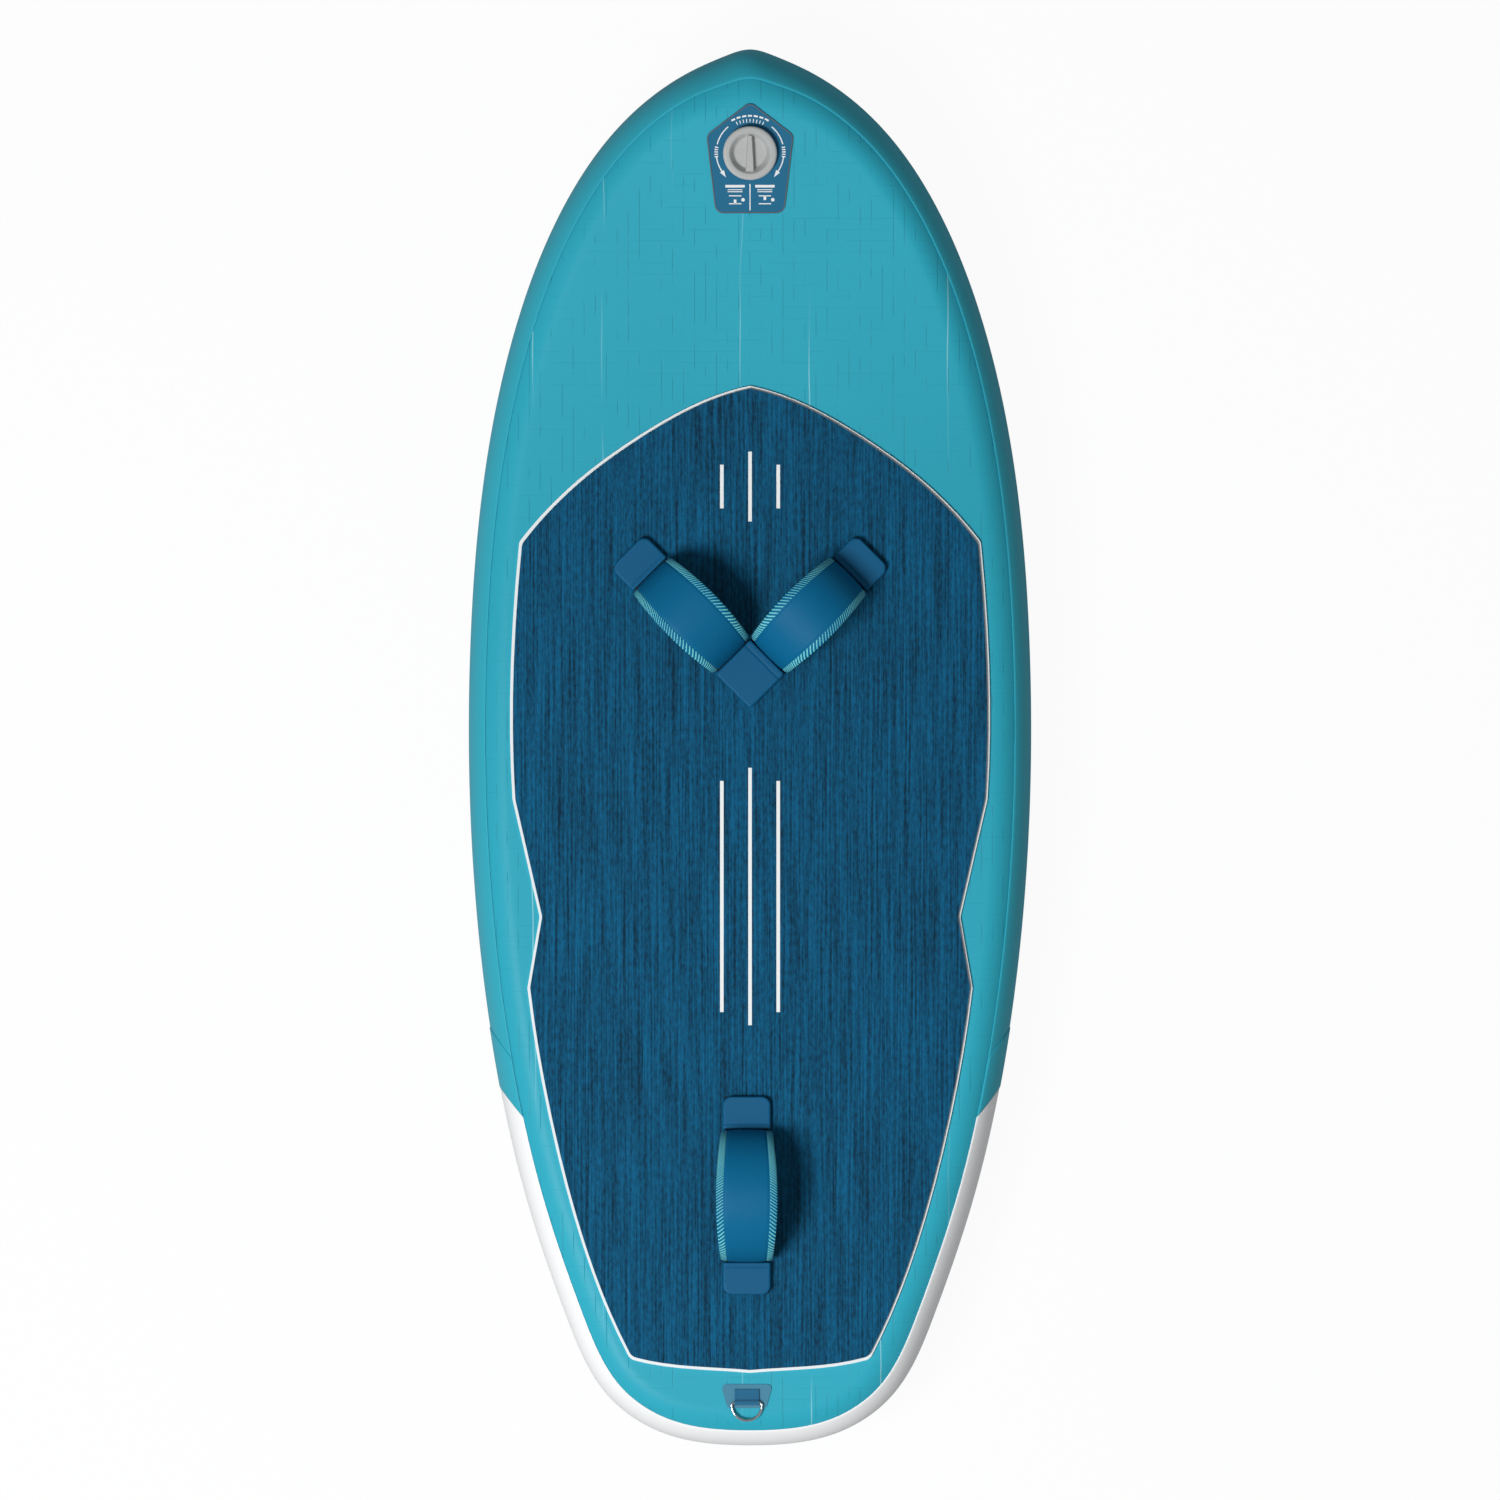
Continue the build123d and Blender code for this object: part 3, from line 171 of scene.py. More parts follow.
def grid_faces(rows, columns, wrap_rows=False, wrap_columns=False):
    """Quads of a grid with rows times columns points, optionally closed either way."""
    r = np.arange(rows if wrap_rows else rows - 1)
    c = np.arange(columns if wrap_columns else columns - 1)
    r, c = np.meshgrid(r, c, indexing="ij")
    r2, c2 = (r + 1) % rows, (c + 1) % columns
    quads = np.stack([r * columns + c, r * columns + c2, r2 * columns + c2, r2 * columns + c], -1)
    return quads.reshape(-1, 4).tolist()


def surface(name, points, wrap_rows=False, wrap_columns=False, smooth=True, tags=None):
    """A surface from a rows by columns grid of points; tags are named values per point.

    Points closer than WELD become one, so a row drawn together at a pole or a seam is closed.
    """
    points = np.asarray(points, float)
    rows, columns = points.shape[:2]
    mesh = bpy.data.meshes.new(name)
    faces = grid_faces(rows, columns, wrap_rows, wrap_columns)
    mesh.from_pydata(points.reshape(-1, 3).tolist(), [], faces)
    for tag, values in (tags or {}).items():
        layer = mesh.attributes.new(tag, "FLOAT", "POINT")
        layer.data.foreach_set("value", np.asarray(values, np.float32).ravel())
    work = bmesh.new()
    work.from_mesh(mesh)
    bmesh.ops.remove_doubles(work, verts=work.verts, dist=WELD)
    bmesh.ops.recalc_face_normals(work, faces=work.faces)
    work.to_mesh(mesh)
    work.free()
    mesh.polygons.foreach_set("use_smooth", np.full(len(mesh.polygons), smooth))
    item = bpy.data.objects.new(name, mesh)
    bpy.context.scene.collection.objects.link(item)
    return item


def join(name, items):
    """Several objects as one, named for the piece."""
    meshes = bmesh.new()
    for item in items:
        meshes.from_mesh(item.data)
    mesh = bpy.data.meshes.new(name)
    meshes.to_mesh(mesh)
    meshes.free()
    for item in items:
        bpy.data.objects.remove(item)
    piece = bpy.data.objects.new(name, mesh)
    bpy.context.scene.collection.objects.link(piece)
    return piece


def finish(item, body, material, slot, *nodes):
    """Give a piece its finish, its body and the nodes that it stands for; the slot is not used."""
    item.data.materials.clear()
    item.data.materials.append(material)
    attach(item, body)
    if nodes:
        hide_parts(*nodes)


# ---- Hull shape ----

def closed_spline(points):
    """Dense points of the smooth closed curve through the given ones.

    A periodic cubic in chord length: second derivatives come from one linear system that makes the
    slope continuous at each point.
    """
    points = np.asarray(points, float)
    n = len(points)
    chord = np.linalg.norm(np.roll(points, -1, 0) - points, axis=1)
    before = np.roll(chord, 1)
    system = np.zeros((n, n))
    index = np.arange(n)
    system[index, index] = 2 * (before + chord)
    system[index, (index + 1) % n] = chord
    system[index, (index - 1) % n] = before
    slope = (np.roll(points, -1, 0) - points) / chord[:, None]
    curve = np.linalg.solve(system, 6 * (slope - np.roll(slope, 1, 0)))
    t = np.linspace(0, 1, SPLINE_STEPS, endpoint=False)[None, :, None]
    h = chord[:, None, None]
    a, b = points[:, None], np.roll(points, -1, 0)[:, None]
    ca, cb = curve[:, None], np.roll(curve, -1, 0)[:, None]
    bow = ((1 - t) ** 3 - (1 - t)) * ca + (t ** 3 - t) * cb
    dense = a * (1 - t) + b * t + h * h / 6 * bow
    return dense.reshape(-1, 2)


class Hull:
    """The hull's surfaces as functions of a share round the rim and an angle on the rail.

    A rail point at angle a lies cos a of the way from the deck edge to the rim, and sin a of the
    half thickness above the middle. Ahead of the nose curve's start the whole section is bent
    round an arc.
    """

    def __init__(self, sizes):
        self.half = sizes.thickness / 2
        self.tape = sizes.tape
        self.radius = sizes.lift_radius
        self.start = sizes.lift_start
        self.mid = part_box("foil_plate")[1][2] + self.half
        (x0, y0, _), (x1, y1, _) = CAD_BOX
        half_width, half_length = (x1 - x0) / 2, (y1 - y0) / 2
        tilt = math.asin((half_length - self.start) / self.radius)
        nose = sizes.shoulder + sizes.nose_extra
        flat_nose = nose * math.cos(tilt)
        # How far the rounded nose, once tilted, reaches past the point that the rim is bent to
        over = math.hypot(flat_nose, self.half * math.sin(tilt)) - flat_nose
        shape = np.array(RIM_SHAPE)
        along = shape[:, 1] * np.where(shape[:, 1] > 0, half_length - over, half_length)
        sine = np.clip((along - self.start) / self.radius, 0, 1)
        along = np.where(along > self.start, self.start + self.radius * np.arcsin(sine), along)
        right = np.stack([shape[:, 0] * half_width, along], 1)
        left = right[-2:0:-1] * [-1, 1]
        dense = closed_spline(np.concatenate([right, left]))
        count = SPLINE_STEPS * (len(right) - 1) + 1
        rim = dense[:count]
        # The deck's edge is the rim set in along its normal, which turns straight aft at the tip
        step = np.linalg.norm(np.diff(rim, axis=0), axis=1)
        travel = np.concatenate([[0], np.cumsum(step)])
        heading = np.gradient(rim, travel, axis=0)
        ease = np.exp(-(travel / sizes.nose_blend) ** 2)
        turn = np.arctan2(-heading[:, 1], heading[:, 0]) * (1 - ease)
        width = sizes.shoulder + sizes.nose_extra * ease
        edge = rim - np.stack([np.sin(turn), np.cos(turn)], 1) * width[:, None]
        edge[[0, -1], 0] = 0
        rim[[0, -1], 0] = 0
        self.share = travel / travel[-1]
        self.rim, self.edge = rim, edge

    def at(self, table, share):
        """Points of a table at shares; negative shares are the left side."""
        size = np.abs(share)
        x = np.interp(size, self.share, table[:, 0]) * np.where(np.asarray(share) < 0, -1, 1)
        return np.stack([x, np.interp(size, self.share, table[:, 1])], -1)

    def bend(self, x, y, height):
        """Bent position of unrolled x, y at a height above the mid surface."""
        angle = np.maximum(y - self.start, 0) / self.radius
        reach = self.radius - height
        bent_y = np.where(y > self.start, self.start + reach * np.sin(angle), y)
        return np.stack([x + 0 * angle, bent_y, self.mid + self.radius - reach * np.cos(angle)], -1)

    def rail(self, share, angle, inset):
        """Rail points; inset is the depth below the outer face of the tapes."""
        share, angle, inset = np.broadcast_arrays(share, angle, inset)
        rim, edge = self.at(self.rim, share), self.at(self.edge, share)
        out = rim - edge
        scale = 1 - inset / np.maximum(np.linalg.norm(out, axis=-1), 1e-6)
        flat = edge + out * (scale * np.cos(angle))[..., None]
        height = (self.half + self.tape - inset) * np.sin(angle)
        return self.bend(flat[..., 0], flat[..., 1], height)

    def on_deck(self, x, y, lift):
        """Points over plan positions, lift above the deck, which is bent ahead of its start."""
        height = self.half + lift
        sine = np.clip((y - self.start) / (self.radius - height), 0, 1)
        unrolled = np.where(y > self.start, self.start + self.radius * np.arcsin(sine), y)
        return self.bend(x, unrolled, height)


def crowded(count):
    """Shares 0 to 1, closer together near 0: even steps raised to a power a little above 1."""
    return np.linspace(0, 1, count) ** 1.15


def skin_points(hull, steps, side, edge_angle):
    """Half skin of the hull: from a spine on the centre line out to the deck edge, then the rail.

    Rows go round the rim. The flat part is a straight blend from spine to edge; the rail part
    follows the quarter ellipse down to edge_angle.
    """
    half = crowded(steps)
    share = np.concatenate([half, -half[-2:0:-1]])[:, None]
    edge = hull.at(hull.edge, share[:, 0])
    spine = np.stack([0 * edge[:, 0], edge[:, 1] * SPINE_SHARE], -1)
    t = np.linspace(0, 1, FLAT_POINTS)[None, :, None]
    flat = spine[:, None] * (1 - t) + edge[:, None] * t
    top = hull.bend(flat[..., 0], flat[..., 1], side * hull.half)
    angle = side * np.linspace(math.pi / 2, edge_angle, RAIL_POINTS)[None, 1:]
    return np.concatenate([top, hull.rail(share, angle, hull.tape)], 1)


def tape_profile(half_angle, thickness):
    """Angles and insets of a closed tape section: outer face, rounded edge, inner face."""
    outer = np.linspace(-half_angle, half_angle, TAPE_OUTER_POINTS)
    inner = outer[::-1][::TAPE_INNER_STEP]
    rounding = [half_angle + TAPE_EDGE * thickness]
    angle = np.concatenate([outer, rounding, inner, np.negative(rounding)])
    middle = [thickness / 2]
    inset = np.concatenate([0 * outer, middle, np.full(len(inner), thickness), middle])
    inset[[0, TAPE_OUTER_POINTS - 1]] = thickness * 0.15
    return angle, inset


def joint_share(hull, sizes, angle, shift=0.0):
    """Share at which the slanted tape joint crosses each rail angle, moved forward by shift."""
    slant = (1 - np.cos(angle)) / (1 - math.cos(sizes.tape_angle))
    y = -sizes.joint_rim - sizes.joint_slant * slant + shift
    order = np.argsort(hull.rim[:, 1])
    return np.interp(y, hull.rim[order, 1], hull.share[order])


# ---- Materials ----

def add(tree, kind, to=None, **settings):
    """Add a node, named without its ShaderNode prefix, with its settings and links.

    A setting names a property or a socket, with an underscore for a space, or a socket by its
    place, as i0. A node as its value links the node's first output, and a pair (node, output)
    links that output. The new node's first output goes to the socket given as to.
    """
    node = tree.nodes.new("ShaderNode" + kind)
    for key, value in settings.items():
        by_place = key[0] == "i" and key[1:].isdigit()
        socket = node.inputs[int(key[1:])] if by_place else node.inputs.get(key.replace("_", " "))
        if socket is None:
            setattr(node, key, value)
            continue
        pair = isinstance(value, tuple) and isinstance(value[0], bpy.types.Node)
        source, output = value if pair else (value, 0)
        if isinstance(source, bpy.types.Node):
            tree.links.new(source.outputs[output], socket)
        else:
            socket.default_value = value
    if to:
        tree.links.new(node.outputs[0], to)
    return node


def material(name, base, roughness, **shader):
    """A material of one Principled shader with its uniform values on the shader's own sockets.

    Returns it with its tree, its shader and the object coordinates that its patterns lie on.
    """
    made = bpy.data.materials.new(name)
    made.use_nodes = True
    tree = made.node_tree
    tree.nodes.clear()
    bsdf = add(tree, "BsdfPrincipled", Base_Color=base, Roughness=roughness, **shader)
    add(tree, "OutputMaterial", Surface=bsdf)
    return made, tree, bsdf, (add(tree, "TexCoord"), "Object")


def per_metre(*sizes):
    """Pattern repeats per metre, from the real sizes of its features in millimetres."""
    counts = tuple(1000 / size for size in sizes)
    return counts if len(counts) > 1 else counts[0]


def shade(value, amount):
    """A colour made darker (below 1) or lighter (above 1)."""
    return (*[min(1.0, v * amount) for v in value[:3]], 1.0)


def coated_fabric(name, base, thread_lines=True, streaks=True):
    """PVC-coated drop-stitch fabric: a satin film over a square grid of stitched threads.

    The eye sees broken dark lines along the board, fainter ones across, a few long pale lines
    that are painted highlights of wrinkles in the film, and slow changes of tone. A line is the
    narrow dip of a triangle wave over its pitch, shown only where a noise is high.
    """
    made, tree, bsdf, coords = material(name, base, 0.42, Specular_IOR_Level=0.14)
    cloud = add(tree, "TexNoise", Scale=1, Detail=2, Vector=add(
        tree, "Mapping", Vector=coords, Scale=per_metre(400, 833.3, 400)))
    tone = add(tree, "Mix", data_type="RGBA", i6=shade(base, 0.93), i7=shade(base, 1.05), i0=add(
        tree, "MapRange", Value=cloud, From_Min=0.3, From_Max=0.7))
    # The film's grain is about 0.2 mm in life, and is drawn coarser to show
    grain = add(tree, "TexNoise", Vector=coords, Scale=per_metre(1.111), Detail=2)
    height = add(tree, "Math", operation="MULTIPLY", i0=grain, i1=0.25)
    split = add(tree, "SeparateXYZ", Vector=coords)
    if thread_lines:
        lines = []
        for axis, breaks in (("X", (11.11, 38.46, 11.11)), ("Y", (45.45, 11.11, 45.45))):
            noise = add(tree, "TexNoise", Scale=1, Detail=1, Vector=add(
                tree, "Mapping", Vector=coords, Scale=per_metre(*breaks)))
            phase = add(tree, "Math", operation="DIVIDE", i0=(split, axis), i1=STITCH_PITCH)
            wave = add(tree, "Math", operation="PINGPONG", i0=phase, i1=0.5)
            line = add(tree, "MapRange", Value=wave, From_Min=0, From_Max=0.055, To_Min=1, To_Max=0)
            broken = add(tree, "MapRange", Value=noise, From_Min=0.50, From_Max=0.60)
            lines.append(add(tree, "Math", operation="MULTIPLY", i0=line, i1=broken))
        cross = add(tree, "Math", operation="MULTIPLY", i0=lines[1], i1=0.35)
        both = add(tree, "Math", operation="MAXIMUM", i0=lines[0], i1=cross)
        soft = add(tree, "Math", operation="MULTIPLY", i0=both, i1=0.6)
        tone = add(tree, "Mix", data_type="RGBA", i0=soft, i6=(tone, 2), i7=shade(base, 0.55))
        height = add(tree, "Math", operation="SUBTRACT", i0=height, i1=both)
    # Long pale lines along the board: painted highlights of wrinkles in the film, in colour only
    if streaks:
        drift = add(tree, "TexNoise", Scale=1, Detail=2, Vector=add(
            tree, "Mapping", Vector=coords, Scale=per_metre(10000, 285.7, 10000)))
        sway = add(tree, "Math", operation="MULTIPLY", i0=drift, i1=20 * MM)
        shifted = add(tree, "Math", operation="ADD", i0=(split, "X"), i1=sway)
        phase = add(tree, "Math", operation="DIVIDE", i0=shifted, i1=WRINKLE_HIGHLIGHT_PITCH)
        wave = add(tree, "Math", operation="PINGPONG", i0=phase, i1=0.5)
        line = add(tree, "MapRange", Value=wave, From_Min=0.004, From_Max=0.012, To_Min=1, To_Max=0)
        patches = add(tree, "TexNoise", Scale=1, Detail=1, Vector=add(
            tree, "Mapping", Vector=coords, Scale=per_metre(111.1, 333.3, 1000)))
        shown = add(tree, "MapRange", Value=patches, From_Min=0.48, From_Max=0.56, To_Max=0.55)
        # Where the painted wrinkle highlights show, mixed in below as a pale colour
        wrinkle_highlight = add(tree, "Math", operation="MULTIPLY", i0=line, i1=shown)
        tone = add(tree, "Mix", data_type="RGBA", i0=wrinkle_highlight, i6=(tone, 2), i7=linear("a9dfe6"))
    tree.links.new(tone.outputs[2], bsdf.inputs["Base Color"])
    add(tree, "Bump", to=bsdf.inputs["Normal"], Height=height, Distance=0.4 * MM, Strength=0.6)
    add(tree, "MapRange", to=bsdf.inputs["Roughness"], Value=cloud, From_Min=0.2, From_Max=0.8,
        To_Min=0.38, To_Max=0.5)
    return made


def brushed_foam(name, base):
    """EVA foam, brushed along the board: fine dark and light streaks and a matt nap."""
    made, tree, bsdf, coords = material(name, base, 0.8, Specular_IOR_Level=0.15)
    # Real bristle marks are under 1 mm wide; they are drawn 2 to 3 mm wide to show
    streak = add(tree, "TexNoise", Scale=1, Detail=3, Vector=add(
        tree, "Mapping", Vector=coords, Scale=per_metre(2.3256, 142.86, 5)))
    nap = add(tree, "TexNoise", Scale=1, Detail=4, Roughness=0.7, Vector=add(
        tree, "Mapping", Vector=coords, Scale=per_metre(3.0303, 8.3333, 5)))
    part = add(tree, "Math", operation="MULTIPLY", i0=nap, i1=0.8)
    both = add(tree, "Math", operation="ADD", i0=streak, i1=part)
    spread = add(tree, "MapRange", Value=both, From_Min=0.66, From_Max=1.14)
    tone = add(tree, "Mix", data_type="RGBA", i0=spread, i6=shade(base, 0.35), i7=shade(base, 1.75))
    tree.links.new(tone.outputs[2], bsdf.inputs["Base Color"])
    add(tree, "Bump", to=bsdf.inputs["Normal"], Height=both, Distance=0.6 * MM, Strength=0.7)
    return made


def foam_edge(name, base):
    """Closed-cell EVA foam underlay, skived to thickness: pale, matt, with fine pores."""
    made, tree, bsdf, coords = material(name, base, 0.7, Specular_IOR_Level=0.3)
    pores = add(tree, "TexVoronoi", Vector=coords, Scale=per_metre(0.7143))
    spread = add(tree, "MapRange", Value=pores, From_Min=0, From_Max=0.6)
    tone = add(tree, "Mix", data_type="RGBA", i0=spread, i6=shade(base, 0.9), i7=base)
    tree.links.new(tone.outputs[2], bsdf.inputs["Base Color"])
    add(tree, "Bump", to=bsdf.inputs["Normal"], Height=pores, Distance=0.2 * MM, Strength=0.5)
    return made


def woven(name, base, pitch):
    """Woven polyester or nylon: two sine waves at 45 degrees, multiplied, a yarn pitch apart.

    The eye sees small dark and light checks and a soft sheen.
    """
    made, tree, bsdf, coords = material(name, base, 0.8, Sheen_Weight=0.2, Sheen_Roughness=0.4,
                                        Specular_IOR_Level=0.25)
    turned = add(tree, "Mapping", Vector=coords, Rotation=(0, 0, math.pi / 4))
    split = add(tree, "SeparateXYZ", Vector=turned)
    waves = []
    for axis in ("X", "Y"):
        turn = add(tree, "Math", operation="MULTIPLY", i0=(split, axis), i1=2 * math.pi / pitch)
        waves.append(add(tree, "Math", operation="SINE", i0=turn))
    weave = add(tree, "Math", operation="MULTIPLY", i0=waves[0], i1=waves[1])
    spread = add(tree, "MapRange", Value=weave, From_Min=-1, From_Max=1)
    tone = add(tree, "Mix", data_type="RGBA", i0=spread, i6=shade(base, 0.55), i7=shade(base, 1.5))
    tree.links.new(tone.outputs[2], bsdf.inputs["Base Color"])
    add(tree, "Bump", to=bsdf.inputs["Normal"], Height=weave, Distance=0.3 * MM, Strength=0.8)
    return made


def knitted_cover(name, base, stripe):
    """Smooth neoprene knit with printed slanted stripes along both edges of the outer face.

    Reads the attributes along (metres along the arch), across (-1 to 1) and outside (1 on the
    outer face, 0 on the lining). A stripe shows where a triangle wave of distance along, slanted
    by distance across and swelled by a slow sine, is below a width that the same sine sets.
    """
    made, tree, bsdf, coords = material(name, base, 0.55, Specular_IOR_Level=0.12)
    tags = ("along", "across", "outside")
    along, across, outside = ((add(tree, "Attribute", attribute_name=tag), "Fac") for tag in tags)
    size = add(tree, "Math", operation="ABSOLUTE", i0=across)
    band = add(tree, "MapRange", Value=size, From_Min=0.755, From_Max=0.765)
    slant = add(tree, "Math", operation="MULTIPLY", i0=size, i1=6.5)
    turns = add(tree, "Math", operation="MULTIPLY", i0=along, i1=per_metre(3.7037))
    slow = add(tree, "Math", operation="SINE", i0=add(
        tree, "Math", operation="MULTIPLY", i0=along, i1=2 * math.pi * per_metre(136.59)))
    swell = add(tree, "Math", operation="MULTIPLY", i0=slow, i1=1.6)
    phase = add(tree, "Math", operation="ADD", i0=turns, i1=slant)
    phase = add(tree, "Math", operation="ADD", i0=phase, i1=swell)
    wave = add(tree, "Math", operation="PINGPONG", i0=phase, i1=0.5)
    width = add(tree, "MapRange", Value=slow, From_Min=-1, From_Max=1, To_Min=0.12, To_Max=0.27)
    line = add(tree, "Math", operation="LESS_THAN", i0=wave, i1=width)
    shown = add(tree, "Math", operation="MULTIPLY", i0=line, i1=band)
    shown = add(tree, "Math", operation="MULTIPLY", i0=shown, i1=outside)
    # Knit loops are about 0.3 mm in life, and are drawn coarser to show
    knit = add(tree, "TexVoronoi", Vector=coords, Scale=per_metre(0.9091))
    spread = add(tree, "MapRange", Value=knit, From_Min=0, From_Max=0.8)
    face = add(tree, "Mix", data_type="RGBA", i0=spread, i6=shade(base, 0.9), i7=shade(base, 1.08))
    lined = add(tree, "Mix", data_type="RGBA", i0=outside, i6=linear("15181b"), i7=(face, 2))
    tone = add(tree, "Mix", data_type="RGBA", i0=shown, i6=(lined, 2), i7=stripe)
    tree.links.new(tone.outputs[2], bsdf.inputs["Base Color"])
    add(tree, "Bump", to=bsdf.inputs["Normal"], Height=knit, Distance=0.15 * MM, Strength=0.5)
    return made


def moulded(name, base, roughness, grain=0.2 * MM, speckle=0.05, **shader):
    """Injection-moulded plastic or rubber: an even colour with a fine spark-eroded grain."""
    made, tree, bsdf, coords = material(name, base, roughness, **shader)
    # Spark-eroded grain is about 0.1 mm in life, and is drawn coarser to show
    noise = add(tree, "TexNoise", Vector=coords, Scale=per_metre(1.25), Detail=3)
    spread = add(tree, "MapRange", Value=noise, From_Min=0.3, From_Max=0.7)
    tone = add(tree, "Mix", data_type="RGBA", i0=spread,
               i6=shade(base, 1 - speckle), i7=shade(base, 1 + speckle))
    tree.links.new(tone.outputs[2], bsdf.inputs["Base Color"])
    add(tree, "Bump", to=bsdf.inputs["Normal"], Height=noise, Distance=grain, Strength=0.4)
    return made


def metal(name, base, roughness, marks=(2.5, 83.33, 2.5), depth=0.05 * MM):
    """Machined, drawn or polished metal: fine lines along the way it was worked.

    The marks are the sizes of the lines in millimetres, coarser than in life so that they show.
    """
    made, tree, bsdf, coords = material(name, base, roughness, Metallic=1)
    lines = add(tree, "TexNoise", Scale=1, Detail=3, Vector=add(
        tree, "Mapping", Vector=coords, Scale=per_metre(*marks)))
    add(tree, "MapRange", to=bsdf.inputs["Roughness"], Value=lines, From_Min=0.3, From_Max=0.7,
        To_Min=roughness * 0.7, To_Max=roughness * 1.35)
    add(tree, "Bump", to=bsdf.inputs["Normal"], Height=lines, Distance=depth, Strength=0.4)
    return made


MADE = {}    # materials already made, by the name of their finish


def finish_named(name):
    """The material of a name, made once from the scene's colours."""
    c = bpy.context.scene.foil_board_colours
    makers = {
        # Coated fabrics: a satin film, with thread lines only on the two skins
        "deck_skin": lambda: coated_fabric("Coated drop-stitch fabric, teal", c.deck),
        "bottom_skin": lambda: coated_fabric(
            "Coated drop-stitch fabric, pale", c.bottom, streaks=False),
        "rail_tape": lambda: coated_fabric("Coated rail tape, teal", c.tape, False, False),
        "tail_tape": lambda: coated_fabric("Coated rail tape, white", c.white, False, False),
        "patch": lambda: coated_fabric("Coated patch, blue", c.patch, False, False),
        "leash_patch": lambda: coated_fabric(
            "Coated patch, pale blue", c.leash_patch, False, False),
        # Foams: matt, streaked by the brush on top and pored where it was skived
        "pad": lambda: brushed_foam("Brushed EVA foam, blue", c.pad),
        "pad_border": lambda: foam_edge("EVA foam, white", c.pad_border),
        # Moulded and printed plastics: even, a little gloss, fine grain
        "print": lambda: moulded(
            "Screen-printed ink, white", linear("eef2f3"), 0.5, 0.05 * MM, 0.02),
        "patch_edge": lambda: moulded("Cut patch edge, brown grey", linear("5d6468"), 0.7),
        "cap": lambda: moulded("Moulded nylon, grey", c.cap, 0.5),
        "black_rubber": lambda: moulded("Moulded rubber, black", linear("1c1d1f"), 0.75),
        "tab": lambda: moulded("Soft thermoplastic tab, blue", c.tab, 0.55, 0.2 * MM, 0.04,
                               Specular_IOR_Level=0.15),
        "mount": lambda: moulded(
            "Glass-filled nylon, black", linear("2b2e31"), 0.6, 0.4 * MM, 0.15),
        "nylon": lambda: moulded("Moulded nylon, black", linear("26282a"), 0.6),
        # Textiles: small checks of yarn; the cover is a smooth knit with printed stripes
        "cover": lambda: knitted_cover("Knitted neoprene cover", c.cover, c.stripe),
        "webbing": lambda: woven("Woven polyester webbing, black", linear("23262a"), 2.2 * MM),
        "loop": lambda: woven("Woven polyester webbing, blue", linear("2a6d93"), 1.8 * MM),
        "grip": lambda: woven("Woven nylon grip sleeve, black", linear("2a2d31"), 1.6 * MM),
        "thread": lambda: woven("Polyester thread, off white", linear("e9e9e4"), 0.8 * MM),
        # Metals: bright, with fine lines along the way they were worked
        "steel": lambda: metal(
            "Polished stainless steel", linear("d8dadb"), 0.14, depth=0.004 * MM),
        "nut_steel": lambda: metal("Zinc-plated steel", linear("b9bdbf"), 0.35),
        "brass": lambda: metal("Turned brass", linear("c8a86a"), 0.3),
        "aluminium": lambda: metal(
            "Anodised aluminium extrusion", linear("a7abae"), 0.38, (1.1111, 125, 1.1111)),
    }
    if name not in MADE:
        MADE[name] = makers[name]()
    return MADE[name]


def carry_over(node, name):
    """Give a frame node a better finish in its own slots."""
    item = frame["nodes"][node]
    item.data.materials.clear()
    item.data.materials.append(finish_named(name))


# ---- Operators ----

class PieceOperator:
    """Shared by the operators: undoable, and listed in the panel."""
    bl_options = {"REGISTER", "UNDO"}

    @staticmethod
    def sizes(context):
        """The sizes set on the scene."""
        return context.scene.foil_board_sizes


class FOILBOARD_OT_hull(PieceOperator, bpy.types.Operator):
    """Deck and bottom skins, from the centre line round on to the rails"""
    bl_idname = "foilboard.hull"
    bl_label = "Hull skins"

    def execute(self, context):
        sizes = self.sizes(context)
        hull = Hull(sizes)
        tuck = sizes.tape_angle - TUCK_UNDER_TAPE
        parts = (("deck_skin", 1, "hull_skin", ("deck_panel", "sidewall_left", "sidewall_right")),
                 ("bottom_skin", -1, "bottom_skin", ("bottom_panel",)))
        for name, side, slot, nodes in parts:
            skin = surface(name, skin_points(hull, sizes.rim_steps, side, tuck), wrap_rows=True)
            self.open_bore(skin.data)
            solid = skin.modifiers.new("Skin thickness", "SOLIDIFY")
            solid.thickness = SKIN_THICKNESS
            solid.offset = -1
            finish(skin, "board", finish_named(name), slot, *nodes)
        carry_over("drop_stitch_threads", "thread")
        return {"FINISHED"}

    @staticmethod
    def open_bore(mesh):
        """Open the skin where the valve goes through; the patch and flange hide the cut edge."""
        origin, _, _, up = valve_axes()
        points = np.empty(len(mesh.vertices) * 3)
        mesh.vertices.foreach_get("co", points)
        reach = points.reshape(-1, 3) - origin
        near = np.linalg.norm(np.cross(reach, up), axis=1) < BORE_RADIUS
        inside = near & (reach @ up > -BORE_DEPTH)
        work = bmesh.new()
        work.from_mesh(mesh)
        work.verts.ensure_lookup_table()
        cut = [work.verts[i] for i in np.nonzero(inside)[0]]
        bmesh.ops.delete(work, geom=cut, context="VERTS")
        work.to_mesh(mesh)
        work.free()


